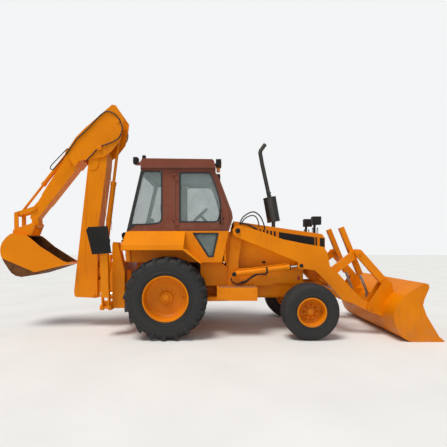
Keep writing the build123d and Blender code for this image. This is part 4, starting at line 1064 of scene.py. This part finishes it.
@dataclass
class HoseRuns(Fittings):
    """Hydraulic hoses and steel lines, each whole on the body that carries it."""

    hose_radius: float = 0.011
    arcs: tuple[tuple[float, Outline], ...] = (
        (0.012, ((1.27, 1.96), (1.34, 2.11), (1.51, 2.205), (1.64, 2.14), (1.712, 2.0), (1.742, 1.88))),
        (0.011, ((1.29, 1.965), (1.37, 2.08), (1.48, 2.135), (1.56, 2.12), (1.61, 2.04), (1.63, 1.93))),
        (0.016, ((1.300, 1.990), (1.400, 1.975), (1.500, 1.935), (1.590, 1.880))),
    )
    dipper_loop: Outline = (
        (-1.651, 3.222), (-1.535, 3.338), (-1.395, 3.478), (-1.138, 3.583), (-1.022, 3.665), (-0.962, 3.805),
        (-0.985, 3.945), (-1.075, 4.090), (-1.232, 4.165), (-1.372, 4.100), (-1.605, 3.851), (-1.826, 3.640),
        (-1.908, 3.530), (-2.001, 3.395), (-2.118, 3.235), (-2.290, 3.045),
    )
    dipper_back: Outline = (
        (-2.275, 3.040), (-2.335, 3.060), (-2.325, 3.125), (-2.180, 3.280), (-2.024, 3.440), (-1.985, 3.415),
    )
    tower: Outline = (
        (1.110, 1.000), (1.150, 0.920), (1.260, 0.890), (1.370, 0.920),
        (1.480, 1.000), (1.600, 1.060), (1.760, 1.060),
    )
    arm_line: Outline = ((1.480, 1.790), (1.900, 1.640), (2.280, 1.480), (2.620, 1.240), (2.840, 1.000))

    def build(self, shop: Workshop) -> None:
        """Make every run.

        Args:
            shop: Where pieces are made.
        """
        self.beside_cab(shop)
        self.on_dipper(shop)
        self.at_kingpost(shop)
        self.on_frame(shop)
        self.on_arms(shop)

    def run(self, shape: Shape, points: Sequence[Flat], y: float, radius: float = hose_radius) -> None:
        """Add a hose whose points lie at one Y, given forward of the rear axle and height."""
        pipe(shape, [(x, y, z) for x, z in points], radius, 10, 8)

    def beside_cab(self, shop: Workshop) -> None:
        """The arcs that rise in front of the cab over the loader's valve.

        Args:
            shop: Where pieces are made.
        """
        hose = bmesh.new()
        for place, (radius, points) in enumerate(self.arcs):
            self.run(hose, points, RIGHT * (0.500 + 0.030 * place), radius)
        shop.piece("cab_side_hoses", hose, "chassis", Slot.RUBBER, HOSE)

    def on_dipper(self, shop: Workshop) -> None:
        """The loops over the dipper's head, and the narrow ring at its back.

        Args:
            shop: Where pieces are made.
        """
        hose = bmesh.new()
        for sign in SIDE_NAMES:
            self.run(hose, self.dipper_loop, sign * 0.216)
        self.run(hose, self.dipper_back, RIGHT * 0.216, 0.009)
        shop.piece("dipper_hoses", hose, "dipper_body", Slot.RUBBER, HOSE)

    def at_kingpost(self, shop: Workshop) -> None:
        """The bundle that bends from the frame to the swing post.

        Args:
            shop: Where pieces are made.
        """
        hose = bmesh.new()
        for place in range(4):
            y = -0.105 + 0.070 * place
            points = [(-0.800, 1.050), (-0.860, 1.080 + 0.008 * place), (-0.915, 1.050)]
            points += [(-0.935, 0.960), (-0.915, 0.870), (-0.850, 0.820)]
            self.run(hose, points, y, 0.013)
        shop.piece("kingpost_hoses", hose, "chassis", Slot.RUBBER, HOSE)

    def on_frame(self, shop: Workshop) -> None:
        """The lines at the loader tower, low on both sides.

        Args:
            shop: Where pieces are made.
        """
        hose = bmesh.new()
        for sign in SIDE_NAMES:
            self.run(hose, self.tower, sign * 0.604)
            self.run(hose, [(x + 0.020, z + 0.030) for x, z in self.tower[2:]], sign * 0.604)
        shop.piece("tower_hoses", hose, "chassis", Slot.RUBBER, HOSE)

    def on_arms(self, shop: Workshop) -> None:
        """Steel lines along the inner faces of the loader arms, with their clips.

        Args:
            shop: Where pieces are made.
        """
        line, clips = bmesh.new(), bmesh.new()
        for sign in SIDE_NAMES:
            for lift in (0.0, 0.032):
                pipe(line, [(x, sign * 0.612, z + lift) for x, z in self.arm_line], 0.008, 10, 6)
            for x, z in self.arm_line[1:4]:
                foot = (x - 0.014, sign * 0.600, z - 0.016)
                soft_block(clips, foot, (x + 0.014, sign * 0.622, z + 0.048), 0.003)
        shop.piece("arm_lines", line, "arms", Slot.BLACK, BLACK)
        shop.piece("arm_line_clips", clips, "arms", Slot.BLACK, STEEL)


def pin_cap(shape: Shape, spot: Flat, y: float, sign: float, radius: float) -> None:
    """Add a pin's end disc with its retaining bolt and grease nipple.

    Args:
        shape: The mesh that it is added to.
        spot: The pin's place, forward of the rear axle and height.
        y: Where the disc sits, without its sign.
        sign: Which side of the machine.
        radius: The disc's radius.
    """
    centre = (spot[0], sign * y, spot[1])
    way = (0.0, sign, 0.0)
    face = [(radius, -0.002), (radius, 0.008), (radius - 0.004, 0.011), (radius * 0.4, 0.011)]
    disc(shape, centre, way, face, 28)
    bolt(shape, (centre[0] + radius * 0.55, centre[1] + sign * 0.010, centre[2] - radius * 0.3), way, 0.009)
    nipple = (centre[0], centre[1] + sign * 0.010, centre[2])
    disc(shape, nipple, way, [(0.006, 0.0), (0.006, 0.010), (0.003, 0.014)], 10)


@dataclass
class PinCaps(Fittings):
    """Pin ends with retaining bolts on the linkage joints: the body, the place, Y and the radius of each."""

    loader: tuple[Pin, ...] = (
        ("chassis", (1.225, 1.846), 0.7590, 0.044),
        ("chassis", (1.162, 1.078), 0.7410, 0.040),
        ("arms", (2.349, 1.230), 0.7390, 0.034),
        ("guide_pair", (3.384, 1.452), 0.7225, 0.036),
        ("link_pair", (3.860, 0.913), 0.7145, 0.040),
    )
    backhoe: tuple[Pin, ...] = (
        ("boom_body", (-1.400, 3.460), 0.2220, 0.050),
        ("boom_body", (-1.530, 0.640), 0.1720, 0.044),
        ("dipper_body", (-2.700, 1.990), 0.1070, 0.036),
        ("dipper_body", (-1.050, 3.975), 0.2010, 0.040),
    )
    dark: tuple[str, ...] = ("chassis", "arms")

    def build(self, shop: Workshop) -> None:
        """Make the caps of the loader's and the backhoe's pins.

        Args:
            shop: Where pieces are made.
        """
        pins = self.loader + self.backhoe
        shapes = {body: bmesh.new() for body, *_ in pins}
        for body, spot, y, radius in pins:
            for sign in SIDE_NAMES:
                pin_cap(shapes[body], spot, y, sign, radius)
        for body, shape in shapes.items():
            slot, finish = (Slot.BLACK, BLACK) if body in self.dark else (Slot.ORANGE, ORANGE)
            shop.piece(f"pin_caps_{body}", shape, body, slot, finish)


@dataclass(frozen=True)
class Wheel:
    """One wheel's place and the sizes of its fittings."""

    body: str
    x: float
    y: float
    z: float
    sign: float
    tyre: float
    rim: float
    bolts: int
    bolt_circle: float
    face: float

    @property
    def way(self) -> Point:
        """Direction out of the machine."""
        return (0.0, self.sign, 0.0)

    @property
    def centre(self) -> Point:
        """The tyre's middle."""
        return (self.x, self.sign * self.y, self.z)


def all_wheels() -> list[Wheel]:
    """The four wheels, in metres.

    Returns:
        The wheels, left and right.
    """
    wheels = []
    for sign, name in SIDE_NAMES.items():
        wheels.append(Wheel(f"rear_wheel_{name}", 0.0, 0.935, 0.700, sign, 0.700, 0.368, 10, 0.150, 0.032))
        wheels.append(Wheel(f"front_wheel_{name}", 2.431, 0.965, 0.475, sign, 0.475, 0.228, 8, 0.112, 0.055))
    return wheels


class WheelFittings(Fittings):
    """Bolts, valves and the moulded rings on each tyre's walls."""

    def build(self, shop: Workshop) -> None:
        """Dress the four wheels."""
        for wheel in all_wheels():
            self.rim(shop, wheel)
            self.tyre(shop, wheel)

    def rim(self, shop: Workshop, wheel: Wheel) -> None:
        """Add the bolts and the valve to a rim.

        Args:
            shop: Where pieces are made.
            wheel: The wheel to dress.
        """
        dark, steel = bmesh.new(), bmesh.new()
        y = wheel.sign * (wheel.y + wheel.face)
        for place in range(wheel.bolts):
            angle = 2 * math.pi * (place + 0.5) / wheel.bolts
            x = wheel.x + wheel.bolt_circle * math.cos(angle)
            z = wheel.z + wheel.bolt_circle * math.sin(angle)
            bolt(steel, (x, y, z), wheel.way, 0.013)
        valve = wheel.rim * 0.80
        start = (wheel.x + valve, wheel.sign * (wheel.y + 0.015), wheel.z)
        pipe(dark, [start, (start[0] - 0.010, start[1] + wheel.sign * 0.045, start[2])], 0.005, 8, 2)
        shop.piece(f"{wheel.body}_bolts", steel, wheel.body, Slot.ORANGE, RIM_ORANGE)
        shop.piece(f"{wheel.body}_valve", dark, wheel.body, Slot.RUBBER, HOSE)

    def tyre(self, shop: Workshop, wheel: Wheel) -> None:
        """Add the rings that run round the tyre's outer and inner walls.

        Args:
            shop: Where pieces are made.
            wheel: The wheel to dress.
        """
        shape = bmesh.new()
        half = 0.215 if wheel.tyre > 0.6 else 0.175
        depth = wheel.tyre - wheel.rim
        for side in (1.0, -1.0):
            for share, ring in ((0.12, 0.004), (0.22, 0.003), (0.62, 0.0035)):
                radius = wheel.rim + share * depth
                wall = half * (0.935 if share < 0.2 else 0.985)
                low = wall - 0.004
                section = [(radius - 0.012, low), (radius, wall + ring), (radius + 0.012, low)]
                section.append((radius, low - 0.004))
                disc(shape, wheel.centre, (0.0, side, 0.0), section, 72, closed=True)
        shop.piece(f"{wheel.body}_wall_rings", shape, wheel.body, Slot.RUBBER, TYRE)


@dataclass
class CabInterior(Fittings):
    """The padded seat, the levers, the gauges and the lining."""

    levers: tuple[tuple[float, tuple[float, ...], Outline, Outline], ...] = (
        (
            0.007, (-0.300, -0.240, 0.240, 0.300), ((0.780, 1.500), (0.740, 1.780), (0.700, 1.960)),
            ((0.010, 0.0), (0.019, 0.014), (0.019, 0.034), (0.008, 0.046)),
        ),
        (
            0.008, (-0.150, -0.050, 0.050, 0.150), ((-0.480, 1.500), (-0.440, 1.900), (-0.430, 2.080)),
            ((0.010, 0.0), (0.021, 0.014), (0.021, 0.036), (0.008, 0.048)),
        ),
    )
    dial: Outline = ((0.040, 0.0), (0.040, 0.012), (0.034, 0.014), (0.004, 0.013))

    def build(self, shop: Workshop) -> None:
        """Furnish the cab.

        Args:
            shop: Where pieces are made.
        """
        self.seat(shop)
        self.controls(shop)
        self.lining(shop)

    def cushion(self, low: Point, high: Point, lean: float, seams: int, puff: float) -> Shape:
        """A stuffed block with rounded edges and sewn seams across its broad face.

        Args:
            low: Lowest corner.
            high: Highest corner.
            lean: How far its top is set back per metre of height.
            seams: Number of channels.
            puff: Height of the stuffing between seams.

        Returns:
            Its mesh.
        """
        shape = bmesh.new()
        made = bmesh.ops.create_cube(shape, size=2.0)
        bmesh.ops.subdivide_edges(shape, edges=list(shape.edges), cuts=23, use_grid_fill=True)
        size = (placed(high) - placed(low)) / 2
        middle = (placed(high) + placed(low)) / 2
        upright = size.z > size.x
        for vert in shape.verts:
            x, y, z = vert.co
            pinch = 1.0 - 0.10 * (abs(x * y * z)) - 0.03 * (abs(x * y) + abs(y * z) + abs(x * z))
            along = z if upright else x
            wave = abs(math.cos(math.pi * seams * (along + 1) / 2))
            face = abs(x) if upright else z
            stuffed = puff * (wave**0.5 - 1.0) * (1 if face > 0.98 else 0) * (1 - y**8)
            spot = Vector((x * size.x * pinch, y * size.y * pinch, z * size.z * pinch))
            if upright:
                spot.x += math.copysign(stuffed, x)
            else:
                spot.z += stuffed
            spot.x -= lean * (spot.z + size.z)
            vert.co = middle + spot
        return shape

    def seat(self, shop: Workshop) -> None:
        """Make the seat cushion and its back in place of the plain solid, on their pedestal.

        Args:
            shop: Where pieces are made.
        """
        base = self.cushion((-0.160, -0.240, 1.752), (0.320, 0.240, 1.868), 0.0, 5, 0.012)
        seat = shop.piece("seat_cushion", base, "chassis", Slot.VINYL, VINYL)
        rest = self.cushion((-0.165, -0.230, 1.862), (-0.055, 0.230, 2.412), 0.165, 5, 0.012)
        back = shop.piece("seat_back", rest, "chassis", Slot.VINYL, VINYL)
        post = bmesh.new()
        soft_block(post, (-0.060, -0.150, 1.310), (0.220, 0.150, 1.752), 0.012)
        for step in range(5):
            low = 1.480 + step * 0.050
            soft_block(post, (-0.072, -0.162, low), (0.232, 0.162, low + 0.032), 0.012)
        shell = shop.piece("seat_pedestal", post, "chassis", Slot.BLACK, BLACK)
        for piece in (seat, back, shell):
            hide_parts("seat")

    def controls(self, shop: Workshop) -> None:
        """Add the levers with their knobs, and the gauges.

        Args:
            shop: Where pieces are made.
        """
        shape, dial = bmesh.new(), bmesh.new()
        for radius, places, (foot, bend, top), knob in self.levers:
            for y in places:
                pipe(shape, [(x, y, z) for x, z in (foot, bend, top)], radius, 10, 4)
                disc(shape, (top[0], y, top[1] - 0.005), (0, 0, 1), knob, 16)
        for y in (-0.120, 0.0, 0.120):
            disc(dial, (0.766, y, 1.840), (-1, 0, 0.2), self.dial)
        shop.piece("cab_levers", shape, "chassis", Slot.BLACK, BLACK)
        shop.piece("cab_gauges", dial, "chassis", Slot.GLASS, LAMP)

    def lining(self, shop: Workshop) -> None:
        """Line the roof in dark trim, lay the floor mat and add a dark block across the cab's back.

        Args:
            shop: Where pieces are made.
        """
        shape = bmesh.new()
        soft_block(shape, (-0.440, -0.700, 2.895), (0.770, 0.700, 2.925), 0.010)
        soft_block(shape, (-0.660, -0.650, 1.311), (0.960, 0.650, 1.318), 0.003)
        soft_block(shape, (-0.640, -0.700, 1.700), (-0.300, 0.700, 1.780), 0.012)
        shop.piece("cab_lining", shape, "chassis", Slot.VINYL, VINYL)


@dataclass
class LoaderFittings(Fittings):
    """The cutting edge with its bolts, the lift cylinders' bands and lines, and the bucket's weld beads."""

    edge: Outline = (
        (4.440, 0.025), (4.440, 0.030), (4.540, 0.030), (4.592, 0.009), (4.592, 0.006), (4.520, 0.025),
    )
    edge_bolts: int = 7
    edge_pitch: float = 0.3048

    def build(self, shop: Workshop) -> None:
        """Dress the loader.

        Args:
            shop: Where pieces are made.
        """
        self.cutting_edge(shop)
        self.glands(shop)
        self.weld_beads(shop)

    def cutting_edge(self, shop: Workshop) -> None:
        """Add the worn steel edge over the lip, and its bolt heads.

        Args:
            shop: Where pieces are made.
        """
        edge = bmesh.new()
        prism(edge, self.edge, -1.168, 1.168)
        shop.piece("cutting_edge", edge, "bucket", Slot.ORANGE, WORN)
        bolts = bmesh.new()
        for place in range(self.edge_bolts):
            y = (place - self.edge_bolts // 2) * self.edge_pitch
            bolt(bolts, (4.460, y, 0.030), (0, 0, 1), 0.015)
        shop.piece("cutting_edge_bolts", bolts, "bucket", Slot.BLACK, STEEL)

    def glands(self, shop: Workshop) -> None:
        """Add dark gland rings and bands to the lift cylinders.

        Args:
            shop: Where pieces are made.
        """
        shape = bmesh.new()
        foot, eye = Vector((1.162, 0.0, 1.078)), Vector((2.349, 0.0, 1.230))
        way = (eye - foot).normalized()
        for sign in SIDE_NAMES:
            for along, radius in ((0.580, 0.0495), (0.600, 0.0495), (1.004, 0.0555)):
                spot = foot + way * along
                centre = (spot.x, sign * 0.680, spot.z)
                inner = radius - 0.003
                band = [(inner, -0.009), (radius, -0.007), (radius, 0.007), (inner, 0.009)]
                disc(shape, centre, tuple(way), band, 32)
        shop.piece("lift_cylinder_bands", shape, "lift_barrel_pair", Slot.BLACK, BLACK)
        lines = bmesh.new()
        lift = Vector((0.0, 0.0, 0.062))
        for sign in SIDE_NAMES:
            route = [foot + way * 0.09 + lift * 0.7]
            route += [foot + way * along + lift for along in (0.10, 0.50, 0.93)]
            route.append(foot + way * 0.93 + way * 0.02 + lift * 0.7)
            pipe(lines, [(p.x, sign * 0.680, p.z) for p in route], 0.008, 10, 5)
        shop.piece("lift_cylinder_lines", lines, "lift_barrel_pair", Slot.ORANGE, ORANGE)

    def weld_beads(self, shop: Workshop) -> None:
        """Add weld beads where the hinge plates meet the bucket's back.

        Args:
            shop: Where pieces are made.
        """
        shape = bmesh.new()
        back = [(3.958, 0.760), (3.862, 0.645), (3.786, 0.520), (3.768, 0.400), (3.786, 0.300)]
        for sign in SIDE_NAMES:
            for y in (0.573, 0.599, 0.747, 0.773):
                pipe(shape, [(x, sign * y, z) for x, z in back], 0.007, 8, 6)
        shop.piece("bucket_weld_beads", shape, "bucket", Slot.ORANGE, BUCKET_ORANGE)


@dataclass
class BackhoeFittings(Fittings):
    """The plates on the boom's head, and the weld beads along its edges."""

    head_plate: Outline = (
        (-1.612, 3.290), (-1.632, 3.060), (-1.560, 3.040), (-1.470, 3.070), (-1.425, 3.150), (-1.430, 3.290),
    )

    def build(self, shop: Workshop) -> None:
        """Dress the backhoe.

        Args:
            shop: Where pieces are made.
        """
        plates = bmesh.new()
        for sign in SIDE_NAMES:
            prism(plates, rounded(self.head_plate, 0.030), sign * 0.169, sign * 0.181)
        shop.piece("boom_head_plates", plates, "boom_body", Slot.ORANGE, ORANGE)
        self.weld_seams(shop)

    def weld_seams(self, shop: Workshop) -> None:
        """Add weld beads along the boom's long edges.

        Args:
            shop: Where pieces are made.
        """
        shape = bmesh.new()
        for sign in SIDE_NAMES:
            for points in (((-1.700, 1.100), (-1.640, 3.000)), ((-1.280, 1.900), (-1.300, 3.000))):
                pipe(shape, [(x, sign * 0.1705, z) for x, z in points], 0.004, 8, 4)
        shop.piece("boom_weld_seams", shape, "boom_body", Slot.ORANGE, ORANGE)


@dataclass
class FrameFittings(Fittings):
    """Step treads, rows of bolts, door hardware, tail lamps, reflectors and the firewall."""

    plate_bolts: tuple[tuple[float, float, Outline], ...] = (
        (0.5705, 0.013, ((1.300, 1.120), (1.500, 1.130), (1.900, 1.130))),
        (0.5705, 0.013, ((2.250, 1.120), (2.360, 1.160), (2.360, 0.950))),
        (0.5925, 0.014, ((1.100, 1.300), (1.200, 1.300), (1.120, 1.560))),
        (0.5925, 0.014, ((1.210, 1.560), (1.110, 0.900), (1.205, 0.900))),
        (0.9505, 0.010, ((0.900, 0.690), (0.900, 0.820), (1.510, 0.690), (1.510, 0.820))),
        (0.7605, 0.008, ((0.980, 1.420), (0.980, 1.700), (1.000, 1.420), (1.000, 1.700))),
    )
    door_gap: Outline = (
        (0.127, 1.860), (0.127, 2.900), (0.770, 2.900), (0.868, 2.720),
        (1.075, 2.170), (1.090, 2.075), (1.030, 1.860),
    )

    def build(self, shop: Workshop) -> None:
        """Dress the chassis.

        Args:
            shop: Where pieces are made.
        """
        self.steps(shop)
        self.bolts(shop)
        self.door_hardware(shop)
        self.rear_lamps(shop)
        self.firewall(shop)

    def firewall(self, shop: Workshop) -> None:
        """Close the gap between the cab's front wall and the hood.

        Args:
            shop: Where pieces are made.
        """
        shape = bmesh.new()
        soft_block(shape, (1.028, -0.560, 1.200), (1.150, 0.560, 1.835), 0.006)
        shop.piece("firewall", shape, "chassis", Slot.ORANGE, ORANGE)

    def steps(self, shop: Workshop) -> None:
        """Add a grip tread on the step boxes.

        Args:
            shop: Where pieces are made.
        """
        tread = bmesh.new()
        for sign in SIDE_NAMES:
            for row in range(4):
                for place in range(14):
                    x = 0.900 + place * 0.046
                    y = sign * (0.640 + row * 0.080)
                    soft_block(tread, (x, y - 0.028, 0.8605), (x + 0.030, y + 0.028, 0.866), 0.002)
        shop.piece("step_treads", tread, "chassis", Slot.BLACK, STEEL)

    def bolts(self, shop: Workshop) -> None:
        """Add rows of bolts to the frame's plates, the cab's foot and the rear frame.

        Args:
            shop: Where pieces are made.
        """
        shape = bmesh.new()
        for sign in SIDE_NAMES:
            way = (0, sign, 0)
            for y, size, spots in self.plate_bolts:
                for x, z in spots:
                    bolt(shape, (x, sign * y, z), way, size)
            for z in (0.620, 0.760, 1.000, 1.120):
                for y in (0.640, 0.770):
                    bolt(shape, (-0.9705, sign * y, z), (-1, 0, 0), 0.013)
        shop.piece("frame_bolts", shape, "chassis", Slot.ORANGE, ORANGE)

    def door_hardware(self, shop: Workshop) -> None:
        """Add the black door handles, the locks and the dark lines round the doors.

        Args:
            shop: Where pieces are made.
        """
        for sign, name in SIDE_NAMES.items():
            shape = bmesh.new()
            low, high = sorted((sign * 0.790, sign * 0.806))
            soft_block(shape, (0.902, low, 1.960), (0.928, high, 2.225), 0.006)
            low, high = sorted((sign * 0.762, sign * 0.800))
            for z in (1.975, 2.210):
                soft_block(shape, (0.904, low, z - 0.012), (0.926, high, z + 0.012), 0.003)
            lock = [(0.016, 0.0), (0.016, 0.010), (0.012, 0.012)]
            disc(shape, (0.960, sign * 0.763, 2.060), (0, sign, 0), lock, 20)
            shop.piece(f"door_handle_{name}", shape, f"door_body_{name}", Slot.BLACK, BLACK)
        gaps = bmesh.new()
        for sign in SIDE_NAMES:
            frame_strip(gaps, self.door_gap, 0.0065, sign * 0.722, sign * 0.757, 0.02)
        shop.piece("door_gap_rubbers", gaps, "chassis", Slot.RUBBER, HOSE)

    def rear_lamps(self, shop: Workshop) -> None:
        """Add tail lamps on the fenders' backs and reflectors on the frame's sides.

        Args:
            shop: Where pieces are made.
        """
        red, dark = bmesh.new(), bmesh.new()
        for sign in SIDE_NAMES:
            low, high = sorted((sign * 0.850, sign * 1.010))
            soft_block(dark, (-0.752, low, 1.600), (-0.730, high, 1.680), 0.006)
            soft_block(red, (-0.764, low + 0.008, 1.608), (-0.752, high - 0.008, 1.672), 0.006)
            low, high = sorted((sign * 0.5705, sign * 0.5760))
            soft_block(red, (2.320, low, 0.960), (2.360, high, 1.030), 0.002)
        shop.piece("tail_lamp_bodies", dark, "chassis", Slot.BLACK, BLACK)
        shop.piece("tail_lamp_lenses", red, "chassis", Slot.GLASS, RED)


ASSEMBLIES: tuple[type[Fittings], ...] = (
    Glazing, RoofFittings, HoodTrim, StackFittings, HoseRuns, PinCaps, WheelFittings, CabInterior,
    LoaderFittings, BackhoeFittings, FrameFittings,
)


@dataclass
class Studio:
    """The pale floor, the soft lamps and the camera."""

    lens: float = 27.38
    eye: Point = (0.157, -6.75, 1.56)
    shift: Flat = (0.019, 0.0526)
    floor_half: float = 60.0
    floor_tone: Colour = (0.82, 0.82, 0.80, 1.0)
    sky: Colour = (0.92, 0.95, 1.0, 1.0)
    sky_strength: float = 0.42
    sun_strength: float = 2.35
    sun_turn: Point = (math.radians(20), math.radians(-14), math.radians(-8))
    fill_power: float = 60.0

    def build(self) -> None:
        """Make the camera, the floor, the world and the lamps."""
        self.place_camera()
        self.lay_floor()
        self.light()

    def place_camera(self) -> None:
        """Put the camera where the photograph was taken from."""
        camera = bpy.data.cameras.new("photo_camera")
        camera.lens = self.lens
        camera.sensor_width = 36.0
        camera.shift_x, camera.shift_y = self.shift
        camera.clip_end = 300.0
        eye = bpy.data.objects.new("photo_camera", camera)
        eye.location = self.eye
        eye.rotation_euler = (math.radians(90), 0.0, 0.0)
        bpy.context.scene.collection.objects.link(eye)
        bpy.context.scene.camera = eye

    def lay_floor(self) -> None:
        """Lay a matt floor that the camera sees as pale."""
        shape = bmesh.new()
        bmesh.ops.create_grid(shape, x_segments=1, y_segments=1, size=self.floor_half)
        mesh = bpy.data.meshes.new("studio_floor")
        shape.to_mesh(mesh)
        shape.free()
        floor = bpy.data.objects.new("studio_floor", mesh)
        floor.location = (0.0, 0.0, -0.001)
        bpy.context.scene.collection.objects.link(floor)
        sheet = ShaderSheet("studio_floor_matt")
        darker = tuple(0.93 * part for part in self.floor_tone[:3]) + (1.0,)
        share = sheet.remap(sheet.noise(0.8, 5), 0.3, 0.7)
        sheet.link(sheet.blend(share, self.floor_tone, darker), sheet.shader.inputs["Base Color"])
        sheet.shader.inputs["Roughness"].default_value = 0.9
        mesh.materials.append(sheet.material)

    def light(self) -> None:
        """Set an even sky, one soft sun and a fill from the viewer's side."""
        world = bpy.data.worlds.new("studio_sky")
        bpy.context.scene.world = world
        world.use_nodes = True
        tree = world.node_tree
        tree.nodes.clear()
        output = tree.nodes.new("ShaderNodeOutputWorld")
        lit = tree.nodes.new("ShaderNodeBackground")
        lit.inputs["Color"].default_value = self.sky
        lit.inputs["Strength"].default_value = self.sky_strength
        seen = tree.nodes.new("ShaderNodeBackground")
        seen.inputs["Color"].default_value = (0.90, 0.91, 0.92, 1.0)
        seen.inputs["Strength"].default_value = 1.0
        rays = tree.nodes.new("ShaderNodeLightPath")
        pick = tree.nodes.new("ShaderNodeMixShader")
        share = tree.nodes.new("ShaderNodeMath")
        share.operation = "MAXIMUM"
        tree.links.new(rays.outputs["Is Camera Ray"], share.inputs[0])
        tree.links.new(rays.outputs["Is Transmission Ray"], share.inputs[1])
        tree.links.new(share.outputs[0], pick.inputs[0])
        tree.links.new(lit.outputs[0], pick.inputs[1])
        tree.links.new(seen.outputs[0], pick.inputs[2])
        tree.links.new(pick.outputs[0], output.inputs[0])
        sun = bpy.data.lights.new("soft_sun", "SUN")
        sun.energy = self.sun_strength
        sun.angle = math.radians(25)
        sun.color = (1.0, 0.97, 0.92)
        self.hang(sun, (0.0, 0.0, 10.0), self.sun_turn)
        fill = bpy.data.lights.new("side_fill", "AREA")
        fill.energy = self.fill_power
        fill.shape = "RECTANGLE"
        fill.size = 9.0
        fill.size_y = 4.0
        self.hang(fill, (0.5, -9.0, 4.5), (math.radians(68), 0.0, 0.0))

    def hang(self, lamp: bpy.types.Light, spot: Point, turn: Point) -> None:
        """Put a lamp in the scene.

        Args:
            lamp: The lamp.
            spot: Where it hangs.
            turn: How it is turned, in radians.
        """
        holder = bpy.data.objects.new(lamp.name, lamp)
        holder.location = spot
        holder.rotation_euler = turn
        bpy.context.scene.collection.objects.link(holder)


def main() -> None:
    """Build every sub-assembly in order and report each one."""
    logging.basicConfig(level=logging.INFO, format="%(name)s: %(message)s")
    bpy.context.scene.view_settings.view_transform = "Standard"
    shop = Workshop()
    Studio().build()
    log.info("studio ready")
    FrameFinishes().dress(shop)
    log.info("frame finishes ready")
    for assembly in ASSEMBLIES:
        assembly().build(shop)
        log.info("%s ready", assembly.__name__)


if __name__ == "__main__":
    main()
